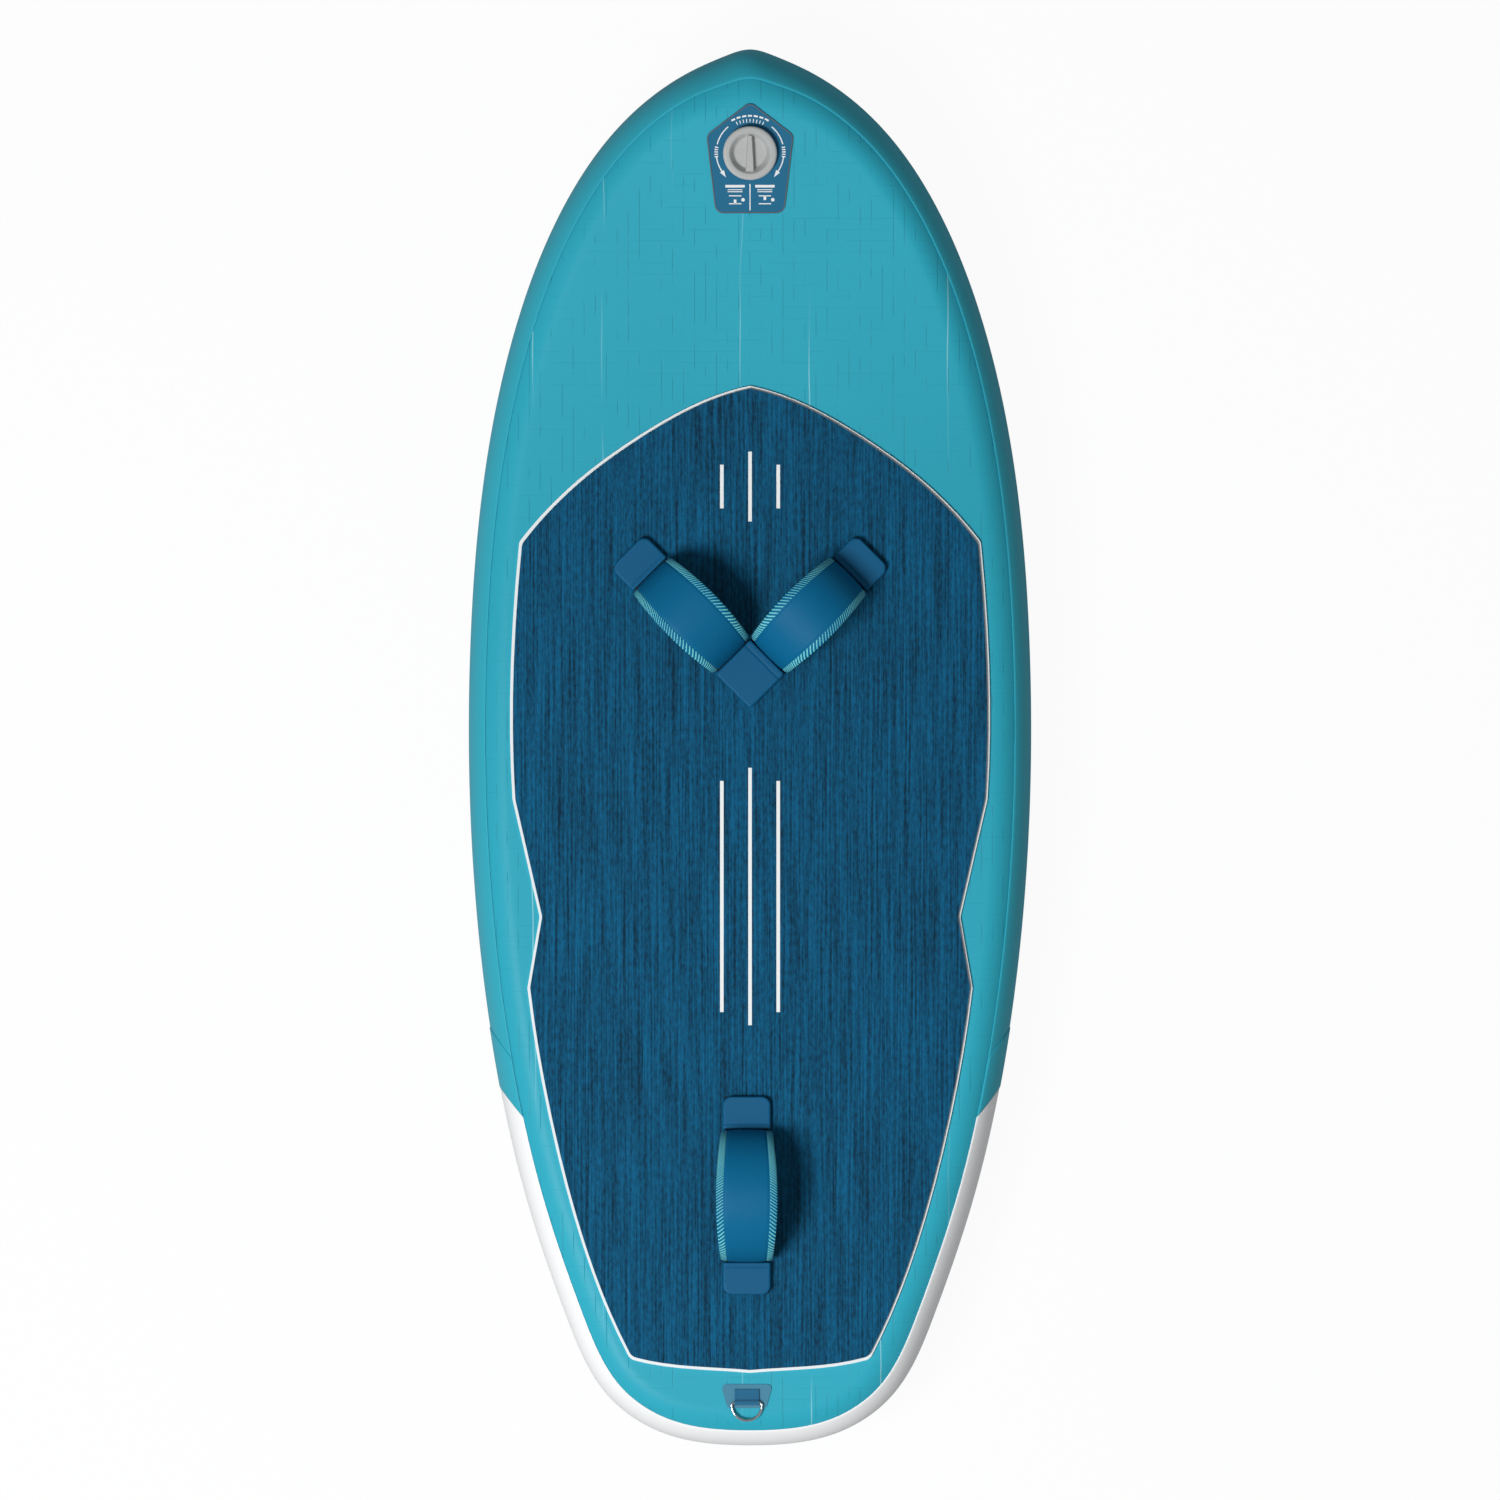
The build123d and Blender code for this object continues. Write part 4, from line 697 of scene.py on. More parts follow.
class FOILBOARD_OT_rails(PieceOperator, bpy.types.Operator):
    """Teal rail tape round the nose, white tape round the tail and the lap where they meet"""
    bl_idname = "foilboard.rails"
    bl_label = "Rail tapes"

    def execute(self, context):
        sizes = self.sizes(context)
        hull = Hull(sizes)
        angle, inset = tape_profile(sizes.tape_angle, TAPE_THICKNESS)
        half = crowded(sizes.rim_steps)
        around = np.concatenate([-half[::-1], half[1:]])[:, None]
        teal = hull.rail(around * joint_share(hull, sizes, angle)[None], angle[None], inset[None])
        t = np.linspace(-1, 1, sizes.rim_steps)[:, None]
        start = joint_share(hull, sizes, angle, -JOINT_GAP)[None]
        share = (1 - np.abs(t) * (1 - start)) * np.where(t < 0, -1, 1)
        white = hull.rail(share, angle[None], inset[None])
        tapes = (("rail_tape", teal, "rail_band"), ("tail_tape", white, "tail_band"))
        for name, points, node in tapes:
            finish(self.closed(name, points), "board", finish_named(name), name, node)
        laps = []
        reach = np.linspace(0, 1, 24)[:, None]
        first = joint_share(hull, sizes, angle, LAP_LENGTH)[None]
        last = joint_share(hull, sizes, angle, 2 * JOINT_GAP)[None]
        for side in (-1, 1):
            share = side * (first + (last - first) * reach)
            lap = hull.rail(share, angle[None] * 0.995, inset[None] - LAP_LIFT)
            laps.append(self.closed("lap", lap))
        finish(join("rail_tape_laps", laps), "board", finish_named("rail_tape"), "rail_tape")
        return {"FINISHED"}

    @staticmethod
    def closed(name, points):
        """Close both ends of a tape by drawing its last ring together at mid thickness."""
        outer, count = TAPE_OUTER_POINTS, points.shape[1]
        back = (outer - 1 - np.arange(outer)) // TAPE_INNER_STEP
        inner_of = np.clip(outer + 1 + back, 0, count - 2)
        ends = []
        for row in (0, -1):
            ring = points[row].copy()
            middle = (ring[:outer] + ring[inner_of]) / 2
            ring[:outer] = middle
            ring[outer + 1:-1] = middle[::-1][::TAPE_INNER_STEP]
            ring[outer], ring[-1] = middle[-1], middle[0]
            ends.append(ring[None])
        return surface(name, np.concatenate([ends[0], points, ends[1]]), wrap_columns=True)


class FOILBOARD_OT_pad(PieceOperator, bpy.types.Operator):
    """Brushed foam pad over its white underlay, with pale lines let into it"""
    bl_idname = "foilboard.pad"
    bl_label = "Deck pad"

    def execute(self, context):
        for node, name in (("pad_underlay", "pad_border"), ("deck_pad", "pad"),
                           ("strap_insert_plates", "nylon"), ("strap_bushings", "brass"),
                           ("strap_screws", "steel"), ("strap_washers", "steel")):
            carry_over(node, name)
        sizes = self.sizes(context)
        hull = Hull(sizes)
        across = np.array([-1, -1, 1, 1]) * sizes.sight_width / 2
        rise = np.array([0, 1, 1, 0]) * (SIGHT_TOP - SIGHT_FOOT)
        strips = []
        for column in (-1, 0, 1):
            trim = abs(column) * SIGHT_STEP + SIGHT_END_FIT
            for first, last in SIGHT_SPANS:
                # A flat box section carried along; its first and last rows lie at its foot
                y = np.linspace(first + trim, last - trim, 30)
                y = np.concatenate([y[:1], y, y[-1:]])[:, None]
                raised = np.ones_like(y)
                raised[[0, -1]] = 0
                x = column * sizes.sight_pitch + across
                points = hull.on_deck(x + 0 * y, y + 0 * x, SIGHT_FOOT + rise * raised)
                strips.append(surface("strip", points, wrap_columns=True, smooth=False))
        finish(join("pad_sight_inlays", strips), "board", finish_named("pad_border"), "white_eva")
        return {"FINISHED"}


def strap_frames():
    """Middle, direction and arch radius of each strap, read from its cover's box."""
    turn = math.radians(45)
    frames = []
    for name, angle in (("left", math.pi - turn), ("right", turn), ("rear", math.pi / 2)):
        low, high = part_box(f"strap_cover_{name}")
        middle = (np.array(low) + np.array(high)) / 2
        if name == "rear":
            radius = (high[1] - low[1]) / 2 - COVER_HALF_THICKNESS
        else:
            half_diagonal = (high[0] - low[0]) / 2 * math.sqrt(2)
            radius = half_diagonal - COVER_SIDE_REACH - COVER_HALF_THICKNESS
        frames.append((name, middle, angle, radius))
    return frames


def softened(wave, power):
    """A wave's size raised to a power below 1, with its sign kept, which squares a circle."""
    return np.sign(wave) * np.abs(wave) ** power


def to_strap(points, middle, angle, base):
    """Points of a strap's own frame (x along, y across, z up from the pad) put in place."""
    x, y, z = points[..., 0], points[..., 1], points[..., 2]
    c, s = math.cos(angle), math.sin(angle)
    return np.stack([middle[0] + c * x - s * y, middle[1] + s * x + c * y, base + z], -1)


class FOILBOARD_OT_straps(PieceOperator, bpy.types.Operator):
    """Padded foot strap covers on their webbing"""
    bl_idname = "foilboard.straps"
    bl_label = "Foot straps"

    def execute(self, context):
        sizes = self.sizes(context)
        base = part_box("strap_bushings")[1][2]
        for name, middle, angle, radius in strap_frames():
            cover = self.cover(f"strap_cover_{name}_padded", sizes, middle, angle, radius, base)
            finish(cover, "board", finish_named("cover"), "cover_fabric", f"strap_cover_{name}")
            carry_over(f"strap_webbing_{name}", "webbing")
        return {"FINISHED"}

    @staticmethod
    def cover(name, sizes, middle, angle, radius, base):
        """A sleeve swept up a leg, over a half circle and down the other leg.

        Its section is a rounded box: across = half width times a softened cosine, out = half
        thickness times a softened sine, with a raised middle and a stitched groove where the face
        meets the striped sides. The width swells towards the crown like a barrel.
        """
        start, leg = 9 * MM, 13.2 * MM
        arc = math.pi * radius
        total = 2 * (leg - start) + arc
        s = np.linspace(0, total, 150)
        turn = np.clip((s - (leg - start)) / radius, 0, math.pi)
        x = -radius * np.cos(turn)
        z = leg + radius * np.sin(turn)
        z = np.where(s < leg - start, start + s, z)
        z = np.where(s > total - (leg - start), start + total - s, z)
        reach = (x / (radius + 10 * MM)) ** 2
        half = (sizes.cover_end + (sizes.cover_middle - sizes.cover_end) * (1 - reach)) / 2
        a = np.linspace(0, 2 * math.pi, 128, endpoint=False)
        across, out = softened(np.cos(a), 0.45), softened(np.sin(a), 0.5)
        face = out > 0
        seam_at, seam_width = 0.74, 0.03    # shares of the half width
        groove = np.exp(-((np.abs(across) - seam_at) / seam_width) ** 2) * 0.7 * MM
        crown = 0.9 * MM * (1 - across ** 2)
        lift = out * 4.6 * MM + np.where(face, crown - groove, 0)
        ends = np.minimum(np.minimum(s, total - s) / (3 * MM), 1)
        taper = 0.86 + 0.14 * np.sqrt(1 - (1 - ends) ** 2)
        b = half[:, None] * across[None] * (0.965 + 0.035 * taper[:, None])
        n = lift[None] * taper[:, None]
        normal_x, normal_z = -np.cos(turn), np.sin(turn)
        points = np.stack([x[:, None] + n * normal_x[:, None], b + 0 * n,
                           z[:, None] + n * normal_z[:, None]], -1)
        rings = [points]
        slot_width, slot_depth = 25.2 * MM, 1.4 * MM    # halves, where the webbing goes in
        for row, order in ((0, -1), (-1, 1)):
            core = np.stack([x[row] + across * 0, np.clip(b[row], -slot_width, slot_width),
                             z[row] + across * 0], -1)
            ring = core.copy()
            ring[:, 0] += np.clip(n[row], -slot_depth, slot_depth) * normal_x[row]
            pair = [core[None], ring[None]][::-order]
            rings = pair + rings if order < 0 else rings + pair
        points = np.concatenate(rings)
        along = np.concatenate([[0, 0], s, [total, total]])[:, None] + 0 * a[None]
        tags = {"along": along, "across": np.broadcast_to(across, along.shape),
                "outside": np.broadcast_to(np.where(out > -0.35, 1.0, 0.0), along.shape)}
        return surface(name, to_strap(points, middle, angle, base), wrap_columns=True, tags=tags)


def rounded_outline(half_x, half_y, radii):
    """Closed outline of a box whose corners (++, -+, --, +-) are arcs of their own radii.

    Its points are then spread evenly by distance round it.
    """
    points = []
    corners = ((1, 1, 0), (-1, 1, 90), (-1, -1, 180), (1, -1, 270))
    for (sx, sy, first), radius in zip(corners, radii):
        turn = np.radians(first + np.linspace(0, 90, 10))
        centre = np.array([sx * (half_x - radius), sy * (half_y - radius)])
        points.append(centre + radius * np.stack([np.cos(turn), np.sin(turn)], 1))
    outline = np.concatenate(points)
    dense = np.concatenate([outline, outline[:1]])
    travel = np.concatenate([[0], np.cumsum(np.linalg.norm(np.diff(dense, axis=0), axis=1))])
    t = np.linspace(0, travel[-1], 160, endpoint=False)
    return np.stack([np.interp(t, travel, dense[:, k]) for k in (0, 1)], 1)


def rounded_polygon(corners, radius):
    """Closed outline of a polygon, anticlockwise, with an arc of the radius at each corner."""
    corners = np.asarray(corners, float)
    points = []
    for before, corner, after in zip(np.roll(corners, 1, 0), corners, np.roll(corners, -1, 0)):
        one = (before - corner) / np.linalg.norm(before - corner)
        two = (after - corner) / np.linalg.norm(after - corner)
        half = math.acos(np.clip(one @ two, -1, 1)) / 2
        centre = corner + (one + two) / np.linalg.norm(one + two) * radius / math.sin(half)
        first = corner + one * radius / math.tan(half) - centre
        start = math.atan2(first[1], first[0])
        turn = start + np.linspace(0, math.pi - 2 * half, 9)
        points.append(centre + radius * np.stack([np.cos(turn), np.sin(turn)], 1))
    return np.concatenate(points)


class FOILBOARD_OT_tabs(PieceOperator, bpy.types.Operator):
    """Soft tabs that cover the strap screws"""
    bl_idname = "foilboard.tabs"
    bl_label = "Strap tabs"

    def execute(self, context):
        frames = {name: angle for name, _, angle, _ in strap_frames()}
        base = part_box("strap_bushings")[1][2]
        for node, strap, turned in (
                ("left", "left", 0), ("right", "right", 0), ("centre", "left", 0),
                ("rear_front", "rear", 0), ("rear_back", "rear", math.pi)):
            low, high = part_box(f"strap_tab_{node}")
            centre = (np.array(low) + np.array(high)) / 2
            angle = frames[strap] + turned
            if node == "centre":
                half_x, half_y, radii = 28 * MM, 28 * MM, [3 * MM] * 4
            else:
                half_x, half_y = 18.5 * MM, 27.3 * MM
                radii = [10 * MM, 2 * MM, 2 * MM, 10 * MM]
                # 4 mm longer than its node, at one end only, to cover the end of the webbing
                centre[:2] += 2 * MM * np.array([math.cos(angle), math.sin(angle)])
            tab = self.tab(node, rounded_outline(half_x, half_y, radii), half_x, half_y,
                           centre, angle, base, high[2])
            finish(tab, "board", finish_named("tab"), "tab_fabric", f"strap_tab_{node}")
        return {"FINISHED"}

    @staticmethod
    def tab(node, outline, half_x, half_y, centre, angle, low, high):
        """A cap: outline scaled by t to the middle, height falling off near its rim.

        The height is the full one less a softened step at the rim and a groove for the fold line.
        """
        t = np.concatenate([np.linspace(0, 0.86, 22), np.linspace(0.88, 1, 12)])
        plan = outline[None] * t[:, None, None]
        edge = np.clip((1 - t) / 0.10, 0, 1)[:, None]
        height = (high - low) - 2.6 * MM * (1 - np.sqrt(1 - (1 - edge) ** 2))
        if node == "centre":
            line = plan[..., 1] + half_y - 8.5 * MM
        else:
            line = plan[..., 0] + half_x - 5.5 * MM
        height = height - 0.9 * MM * np.exp(-(line / (0.8 * MM)) ** 2) + 0 * plan[..., 0]
        step = 0.5 * MM * (1 / (1 + np.exp(-line / (0.4 * MM))))
        height = height - (0.5 * MM - step if node == "centre" else step)
        top = np.concatenate([plan, height[..., None]], -1)
        side = np.concatenate([outline, np.zeros((len(outline), 1))], 1)[None]
        base = side * [0.0, 0.0, 1.0]
        points = np.concatenate([top, side, base])
        name = f"strap_tab_{node}_soft"
        return surface(name, to_strap(points, centre, angle, low), wrap_columns=True)


def square_to(outline):
    """Unit vectors to the left of a closed flat outline, one at each of its points."""
    ahead = np.roll(outline, -1, 0) - np.roll(outline, 1, 0)
    ahead /= np.linalg.norm(ahead, axis=1)[:, None]
    return np.stack([-ahead[:, 1], ahead[:, 0]], 1)


def at_heights(*rings):
    """Flat outlines, each with its height, as rows of points."""
    return np.stack([np.concatenate([ring, np.full((len(ring), 1), z)], 1) for ring, z in rings])


def valve_axes():
    """Origin on the deck and the two axes of the valve: square to the deck, and along it."""
    turn = next(j for j in frame["joints"] if j["name"] == "cap_turn")
    origin, up = np.array(turn["pos_m"]), np.array(turn["axis"], float)
    up /= np.linalg.norm(up)
    side = np.array([1.0, 0, 0])
    return origin, side, np.cross(up, side), up


def on_valve(points, deck_radius=0.0):
    """Points of the valve's own frame put in place; with a radius they follow the deck's hollow."""
    origin, side, ahead, up = valve_axes()
    if deck_radius:
        points = points + points[..., 1:2] ** 2 / (2 * deck_radius) * [0, 0, 1]
    return origin + points[..., :1] * side + points[..., 1:2] * ahead + points[..., 2:3] * up


class FOILBOARD_OT_valve(PieceOperator, bpy.types.Operator):
    """Valve patch with its printed arcs and marks, the dished cap and the works below it"""
    bl_idname = "foilboard.valve"
    bl_label = "Inflation valve"

    def execute(self, context):
        self.cap()
        carry_over("valve_patch", "patch")
        for node in ("valve_body", "valve_nut", "valve_pin"):
            carry_over(node, "cap")
        for node in ("valve_gasket", "valve_pin_seal", "cap_seal"):
            carry_over(node, "black_rubber")
        self.spring()
        sizes = self.sizes(context)
        self.marks(sizes.lift_radius - sizes.thickness / 2)
        return {"FINISHED"}

    @staticmethod
    def spring():
        """Coil spring under the pin's button: a circle of wire carried up a helix.

        Angle t gives the point (r cos t, r sin t, rise times t); the wire's circle is spanned by
        the outward direction and the one square to it and to the helix.
        """
        low, high, radius, wire, turns = -20.1 * MM, -10.9 * MM, 5.4 * MM, 0.6 * MM, 3.5
        t = np.linspace(0, turns * 2 * math.pi, 200)
        rise = (high - low) / t[-1]
        centre = np.stack([radius * np.cos(t), radius * np.sin(t), low + rise * t], 1)
        out = np.stack([np.cos(t), np.sin(t), 0 * t], 1)
        along = np.stack([-radius * np.sin(t), radius * np.cos(t), rise + 0 * t], 1)
        up = np.cross(out, along / np.linalg.norm(along, axis=1)[:, None])
        turn = np.linspace(0, 2 * math.pi, 14, endpoint=False)[None, :, None]
        tube = centre[:, None] + wire * (out[:, None] * np.cos(turn) + up[:, None] * np.sin(turn))
        ends = np.repeat(centre[[0, -1]][:, None], tube.shape[1], 1)
        points = np.concatenate([ends[:1], tube, ends[1:]])
        coil = surface("valve_spring_coil", on_valve(points), wrap_columns=True)
        finish(coil, "board", finish_named("nut_steel"), "stainless", "valve_spring")
        origin, _, _, up = valve_axes()
        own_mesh(coil)

    @staticmethod
    def cap():
        """Cap as a turned profile (radius, height) swept round, with the grip bar in its dish.

        Inside the dish the height is the larger of the bowl and a softened bar; below the rim the
        profile follows the skirt.
        """
        top, floor = 10.5 * MM, 2.6 * MM
        dished = 78
        # Radius and height of the rim, the skirt and the plug below it, in millimetres
        below = np.array([(27.2, 10.5), (28.6, 10.45), (29.7, 10.1), (30.3, 9.5), (30.7, 8.8),
                          (30.7, 5.8), (30.5, 5.2), (30.1, 5.0), (21.5, 5.0), (21.5, -4.0),
                          (21.2, -4.5), (19.8, -4.5), (19.5, -4.0), (19.5, 0.6), (10.0, 0.5),
                          (0.0, 0.5)]) * MM
        radius = np.concatenate([np.linspace(0, 26 * MM, dished), below[:, 0]])
        rise = np.clip((radius[:dished] - 17.2 * MM) / (7.0 * MM), 0, 1)
        bowl = floor + (top - floor) * (rise * rise * (3 - 2 * rise))
        height = np.concatenate([bowl, below[:, 1]])
        turn = np.linspace(0, 2 * math.pi, 192, endpoint=False)[None]
        x, y = radius[:, None] * np.cos(turn), radius[:, None] * np.sin(turn)
        z = np.repeat(height[:, None], turn.shape[1], 1)
        bar_reach = 22 * MM
        half = (3.6 + 1.3 * np.clip(-y / bar_reach, -1, 1)) * MM
        wall = np.clip((half - np.abs(x)) / (1.1 * MM) + 0.5, 0, 1)
        end = np.clip((bar_reach - np.abs(y)) / (2.0 * MM), 0, 1)
        bar = floor + (top - 0.4 * MM - floor) * (wall * wall * (3 - 2 * wall)) * end
        dish = np.arange(len(radius))[:, None] < dished
        z = np.where(dish, np.maximum(z, bar), z)
        points = on_valve(np.stack([x, y, z], -1))
        cap = surface("valve_cap_dished", points, wrap_columns=True)
        finish(cap, "valve_cap", finish_named("cap"), "cap_plastic", "valve_cap")

    @staticmethod
    def marks(hollow):
        """Printed marks: arcs are flat bands at one radius, with arrow heads, bars and dots."""
        lift, ink = 1.2 * MM, 0.12 * MM
        top = lift + ink
        arrow_radius = 38.5 * MM
        items = []

        def plate(outline):
            """A thin raised plate inside a closed outline, fanned from its middle."""
            outline = np.asarray(outline, float)
            middle = np.repeat(outline.mean(0)[None], len(outline), 0)
            points = at_heights((middle, top), (outline, top), (outline, lift), (middle, lift))
            items.append(surface("mark", on_valve(points, hollow), wrap_columns=True, smooth=False))

        def arc(radius, first, last, width):
            """A flat band between two radii, from one angle to another in degrees."""
            turn = np.radians(np.linspace(first, last, 40))
            outer, inner = ((radius + side * width / 2) * np.stack([np.cos(turn), np.sin(turn)], 1)
                            for side in (1, -1))
            points = at_heights((inner, lift), (inner, top), (outer, top), (outer, lift))
            items.append(surface("mark", on_valve(points.transpose(1, 0, 2), hollow),
                                 wrap_columns=True, smooth=False))

        def head(radius, degrees, way):
            """An arrow head on an arc, pointing onward (1) or back (-1)."""
            turn = math.radians(degrees)
            out = np.array([math.cos(turn), math.sin(turn)])
            on = np.array([-out[1], out[0]]) * way
            tip = out * radius
            plate([tip + on * 8 * MM, tip - out * 2.6 * MM, tip + out * 2.6 * MM])

        for sign in (1, -1):
            middle = 90 - sign * 90
            arc(arrow_radius, middle + sign * 50, middle + sign * 14, 1.3 * MM)
            arc(arrow_radius, middle - sign * 8, middle - sign * 34, 1.3 * MM)
            head(arrow_radius, middle - sign * 34, -sign)
            for start in range(10, -10, -4):
                arc(arrow_radius, middle + sign * start, middle + sign * (start - 2), 4 * MM)
        for step in range(-3, 4):
            arc(42.0 * MM, 90 + step * 9 - 3.2, 90 + step * 9 + 3.2, 2.0 * MM)
        for step in range(-4, 5):
            arc(36.5 * MM, 90 + step * 6 - 0.8, 90 + step * 6 + 0.8, 4.0 * MM)

        def bar(x, y, width, height):
            """A box about x, y, all in millimetres."""
            corners = np.array([(-1, -1), (1, -1), (1, 1), (-1, 1)]) / 2
            plate((np.array([x, y]) + corners * [width, height]) * MM)

        bar(0, -51, 1.2, 30)
        turn = np.radians(np.linspace(0, 360, 24, endpoint=False))
        dot = 2 * np.stack([np.cos(turn), np.sin(turn)], 1)
        for sign in (1, -1):
            column = sign * 17
            for y, width, height in ((-38.5, 22, 3.0), (-42.5, 17, 1.0), (-44.8, 17, 1.0),
                                     (-49.5, 14, 1.2), (-58.5, 14, 1.2), (-54 + 2.2 * sign, 3, 5)):
                bar(column, y, width, height)
            plate((dot + [column + 9, -54]) * MM)
        finish(join("valve_patch_print", items), "board", finish_named("print"), "patch_skin")
        corners = np.array([(0, 57.5), (-49.5, 20), (-39, -69), (39, -69), (49.5, 20)]) * MM
        outer = rounded_polygon(corners, 10 * MM)
        inward = square_to(outer)
        inner, outer = outer + inward * 1.1 * MM, outer - inward * 0.2 * MM
        rings = at_heights((inner, 0.9 * MM), (inner, 1.3 * MM), (outer, 1.2 * MM), (outer, 0.0))
        edge = surface("valve_patch_edge", on_valve(rings, hollow), wrap_rows=True,
                       wrap_columns=True)
        finish(edge, "board", finish_named("patch_edge"), "patch_skin")


class FOILBOARD_OT_leash(PieceOperator, bpy.types.Operator):
    """Tail patch, webbing loop and the steel ring, a circle of wire carried round a D"""
    bl_idname = "foilboard.leash"
    bl_label = "Leash ring"

    def execute(self, context):
        low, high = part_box("leash_d_ring")
        centre = (np.array(low) + np.array(high)) / 2
        wire = (high[2] - low[2]) / 2
        half = (high[0] - low[0]) / 2 - wire
        depth = (high[1] - low[1]) - 2 * wire
        corner = 3 * MM
        bar_y = high[1] - wire
        quarter = np.radians(np.linspace(90, 0, 10))
        right = np.stack([half - corner + corner * np.cos(quarter),
                          -corner + corner * np.sin(quarter)], 1)
        bow = np.radians(np.linspace(0, -180, 60))[1:-1]
        curve = np.stack([half * np.cos(bow), -corner + (depth - corner) * np.sin(bow)], 1)
        bar = np.linspace(corner - half, half - corner, 24)[1:-1]
        path = np.concatenate([np.stack([bar, 0 * bar], 1), right, curve, (right * [-1, 1])[::-1]])
        out = square_to(path)
        turn = np.linspace(0, 2 * math.pi, 20, endpoint=False)
        ring = path[:, None] + wire * out[:, None] * np.cos(turn)[None, :, None]
        rise = np.broadcast_to(wire * np.sin(turn), ring.shape[:2])
        points = np.concatenate([ring, rise[..., None]], -1)
        points += np.array([centre[0], bar_y, centre[2]])
        tube = surface("leash_ring_steel", points, wrap_rows=True, wrap_columns=True)
        finish(tube, "leash_ring", finish_named("steel"), "polished_steel", "leash_d_ring")
        carry_over("leash_patch", "leash_patch")
        carry_over("leash_loop", "loop")
        return {"FINISHED"}


class FOILBOARD_OT_mount(PieceOperator, bpy.types.Operator):
    """Foil base plate, its tracks and sliding nuts, and the carry handle"""
    bl_idname = "foilboard.mount"
    bl_label = "Foil mount and handle"

    def execute(self, context):
        carry_over("foil_plate", "mount")
        for side in ("left", "right"):
            carry_over(f"foil_track_{side}", "aluminium")
            for end in ("front", "back"):
                carry_over(f"track_nut_{end}_{side}", "nut_steel")
        carry_over("handle_webbing", "webbing")
        for end in ("front", "rear"):
            carry_over(f"handle_patch_{end}", "patch")
        self.grip()
        return {"FINISHED"}

    @staticmethod
    def grip():
        """Grip sleeve: a rounded box section carried straight, with piped ends, flat below."""
        low, high = (np.array(v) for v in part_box("handle_grip"))
        middle, half = (low + high) / 2, (high - low) / 2
        s = np.linspace(-1, 1, 80)
        a = np.linspace(0, 2 * math.pi, 72, endpoint=False)
        pull = 1 - 0.10 * (1 - s ** 2) - 0.25 * np.clip((np.abs(s) - 0.97) / 0.03, 0, 1) ** 2
        across, lift = softened(np.cos(a), 0.5), softened(np.sin(a), 0.6)
        seam_at, seam_width = 0.92, 0.012    # shares of the half length
        seam = 1 - 0.05 * np.exp(-((np.abs(s) - seam_at) / seam_width) ** 2)
        x = middle[0] + half[0] * across[None] * (pull * seam)[:, None]
        z = middle[2] + half[2] * lift[None] * (0.86 + 0.14 * pull * seam)[:, None]
        z = np.where(lift[None] < 0, np.maximum(z, low[2]), z)
        y = middle[1] + half[1] * s[:, None] + 0 * a[None]
        points = np.stack([x, y, z], -1)
        ends = []
        slot_width, slot_depth = 15.2 * MM, 1.4 * MM    # halves, where the webbing goes in
        for row in (0, -1):
            ring = points[row].copy()
            for axis, reach in ((0, slot_width), (2, slot_depth)):
                ring[:, axis] = middle[axis] + np.clip(ring[:, axis] - middle[axis], -reach, reach)
            ends.append(ring[None])
        points = np.concatenate([ends[0], points, ends[1]])
        grip = surface("handle_grip_sleeve", points, wrap_columns=True)
        finish(grip, "board", finish_named("grip"), "handle_fabric", "handle_grip")


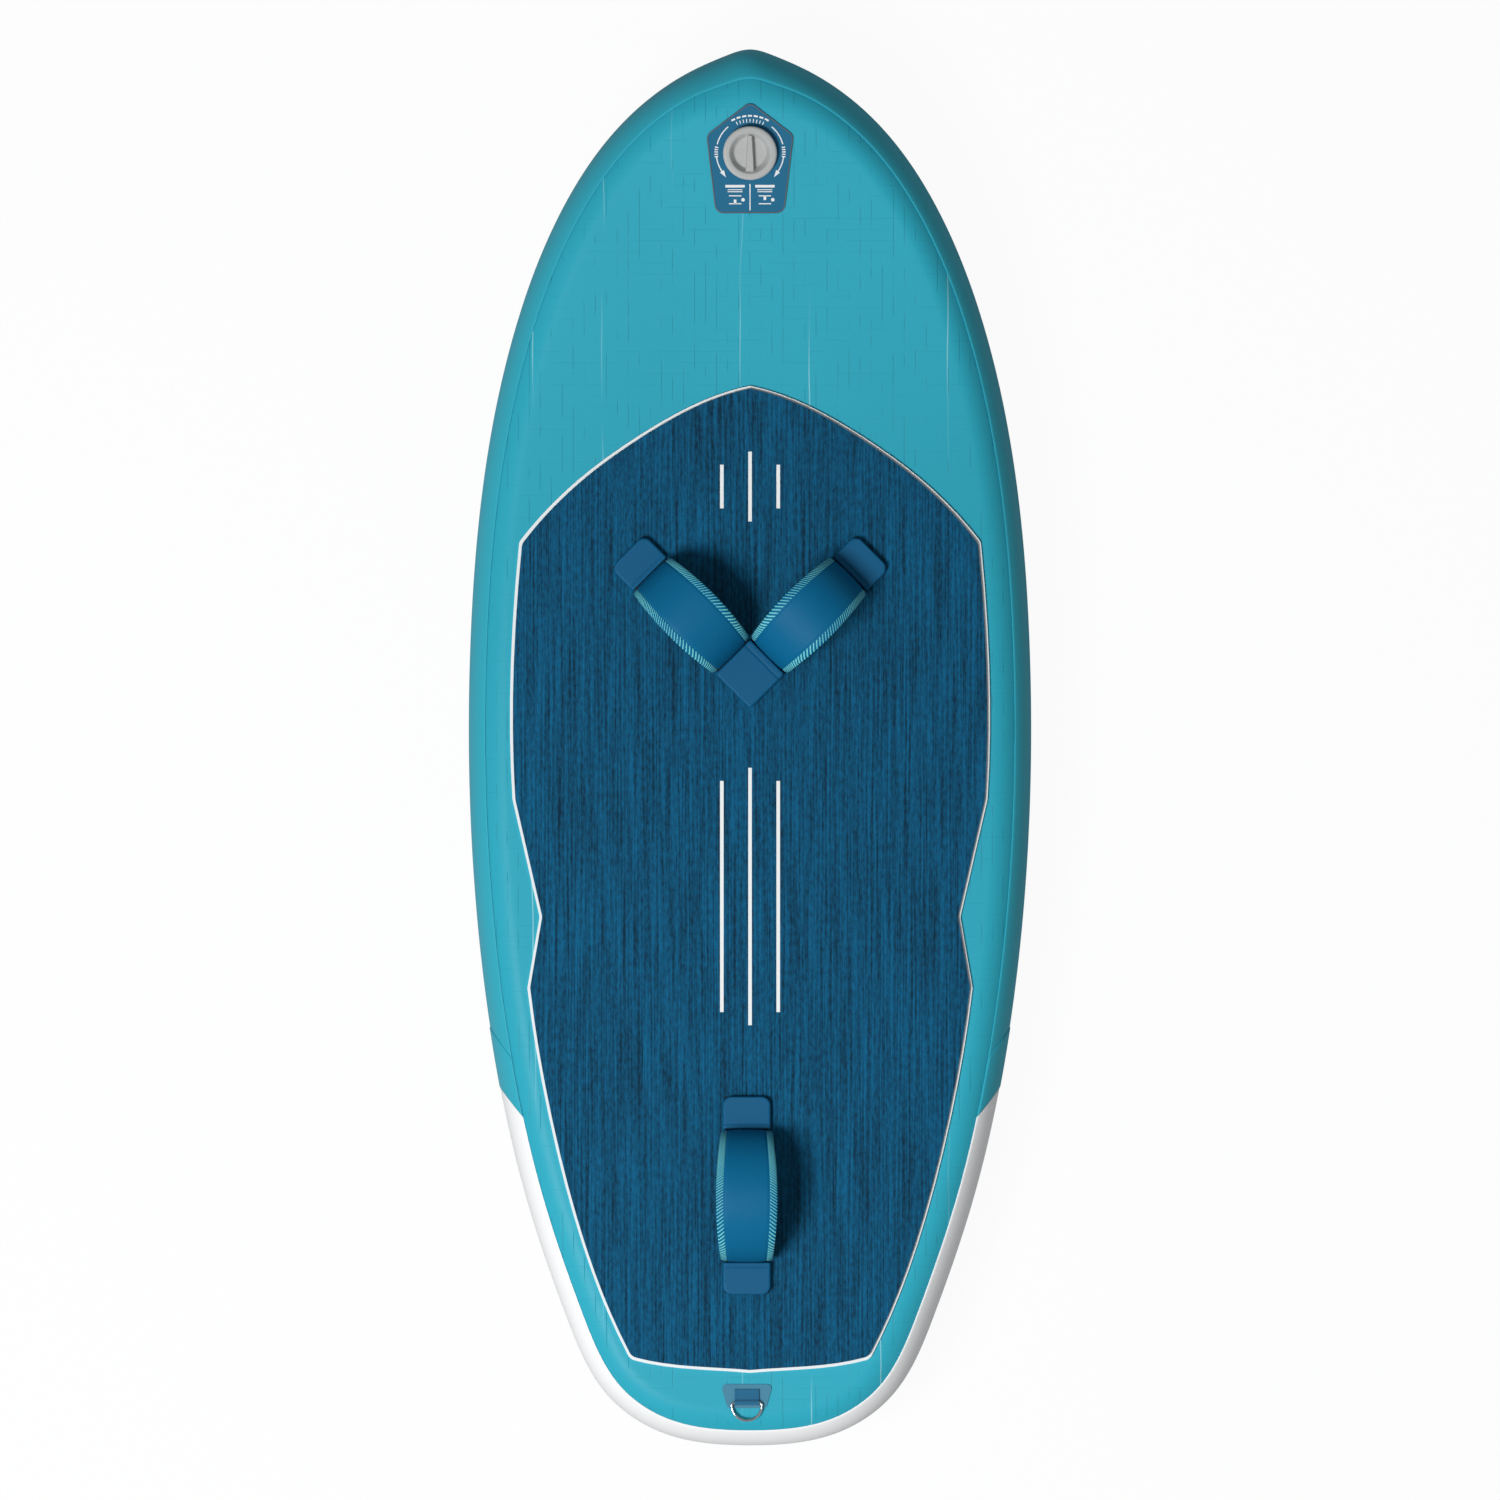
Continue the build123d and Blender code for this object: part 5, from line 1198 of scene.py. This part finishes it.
class FOILBOARD_OT_stage(PieceOperator, bpy.types.Operator):
    """Pale floor, soft lights and a long-lens camera straight above the deck"""
    bl_idname = "foilboard.stage"
    bl_label = "Stage"

    def execute(self, context):
        scene = context.scene
        mesh = bpy.data.meshes.new("floor")
        size, low = 30.0, -0.5 * MM
        corners = [(x * size, y * size, low) for x, y in ((-1, -1), (1, -1), (1, 1), (-1, 1))]
        mesh.from_pydata(corners, [], [(0, 1, 2, 3)])
        floor = bpy.data.objects.new("floor", mesh)
        scene.collection.objects.link(floor)
        # The camera sees mostly the paint's own white, and nothing from below
        paint, tree, bsdf, _ = material("Matt white floor paint", linear("aeb0b2"), 0.9)
        floor.data.materials.append(paint)
        seen = add(tree, "LightPath")
        share = add(tree, "Math", operation="MULTIPLY", i0=(seen, "Is Camera Ray"), i1=0.9)
        glow = add(tree, "Emission", Color=linear("ffffff"), Strength=1.05)
        blend = add(tree, "MixShader", i0=share, i1=bsdf, i2=glow)
        out = next(n for n in tree.nodes if n.type == "OUTPUT_MATERIAL")
        add(tree, "MixShader", to=out.inputs[0], i0=(add(tree, "NewGeometry"), "Backfacing"),
            i1=blend, i2=add(tree, "BsdfTransparent"))
        scene.view_settings.view_transform = "Standard"
        world = bpy.data.worlds.new("Soft room")
        scene.world = world
        world.use_nodes = True
        back = world.node_tree.nodes["Background"]
        back.inputs["Color"].default_value = linear("f8fcff")
        back.inputs["Strength"].default_value = 0.22
        for name, position, power, spread in (
                ("key", (-1.9, -1.5, 4.2), 190, 1.5), ("fill", (2.6, -2.2, 1.6), 7, 2.5)):
            light = bpy.data.lights.new(name, "AREA")
            light.energy, light.size = power, spread
            lamp = bpy.data.objects.new(name, light)
            lamp.location = position
            lamp.rotation_euler = Vector(position).to_track_quat("Z", "Y").to_euler()
            scene.collection.objects.link(lamp)
        camera = bpy.data.objects.new("camera", bpy.data.cameras.new("camera"))
        # The frame is this many metres wide at the height of the deck
        distance, deck_height, span, sensor = 12.0, 0.15, 1.7133, 36.0
        camera.data.sensor_width = sensor
        camera.data.lens = sensor * (distance - deck_height) / span
        camera.data.clip_end = 100
        camera.location = (0, -0.0017, distance)
        scene.collection.objects.link(camera)
        scene.camera = camera
        return {"FINISHED"}


class FOILBOARD_PT_panel(bpy.types.Panel):
    """Lists the board's pieces and sizes"""
    bl_idname = "FOILBOARD_PT_panel"
    bl_label = "Foil board"
    bl_space_type = "VIEW_3D"
    bl_region_type = "UI"
    bl_category = "Foil board"

    def draw(self, context):
        for operator in OPERATORS:
            self.layout.operator(operator.bl_idname)
        for group in (context.scene.foil_board_sizes, context.scene.foil_board_colours):
            for name in group.bl_rna.properties.keys():
                if name not in ("rna_type", "name"):
                    self.layout.prop(group, name)


OPERATORS = (
    FOILBOARD_OT_stage, FOILBOARD_OT_hull, FOILBOARD_OT_rails, FOILBOARD_OT_pad,
    FOILBOARD_OT_straps, FOILBOARD_OT_tabs, FOILBOARD_OT_valve, FOILBOARD_OT_leash,
    FOILBOARD_OT_mount,
)
CLASSES = (FoilBoardSizes, FoilBoardColours, *OPERATORS, FOILBOARD_PT_panel)


def register():
    """Register the classes and hang the property groups on the scene."""
    for item in CLASSES:
        bpy.utils.register_class(item)
    bpy.types.Scene.foil_board_sizes = PointerProperty(type=FoilBoardSizes)
    bpy.types.Scene.foil_board_colours = PointerProperty(type=FoilBoardColours)


def unregister():
    """Take the property groups and classes away again."""
    del bpy.types.Scene.foil_board_colours
    del bpy.types.Scene.foil_board_sizes
    for item in reversed(CLASSES):
        bpy.utils.unregister_class(item)


def main():
    """Make every piece in order."""
    register()
    for operator in OPERATORS:
        group, name = operator.bl_idname.split(".")
        getattr(getattr(bpy.ops, group), name)()


if __name__ == "__main__":
    main()
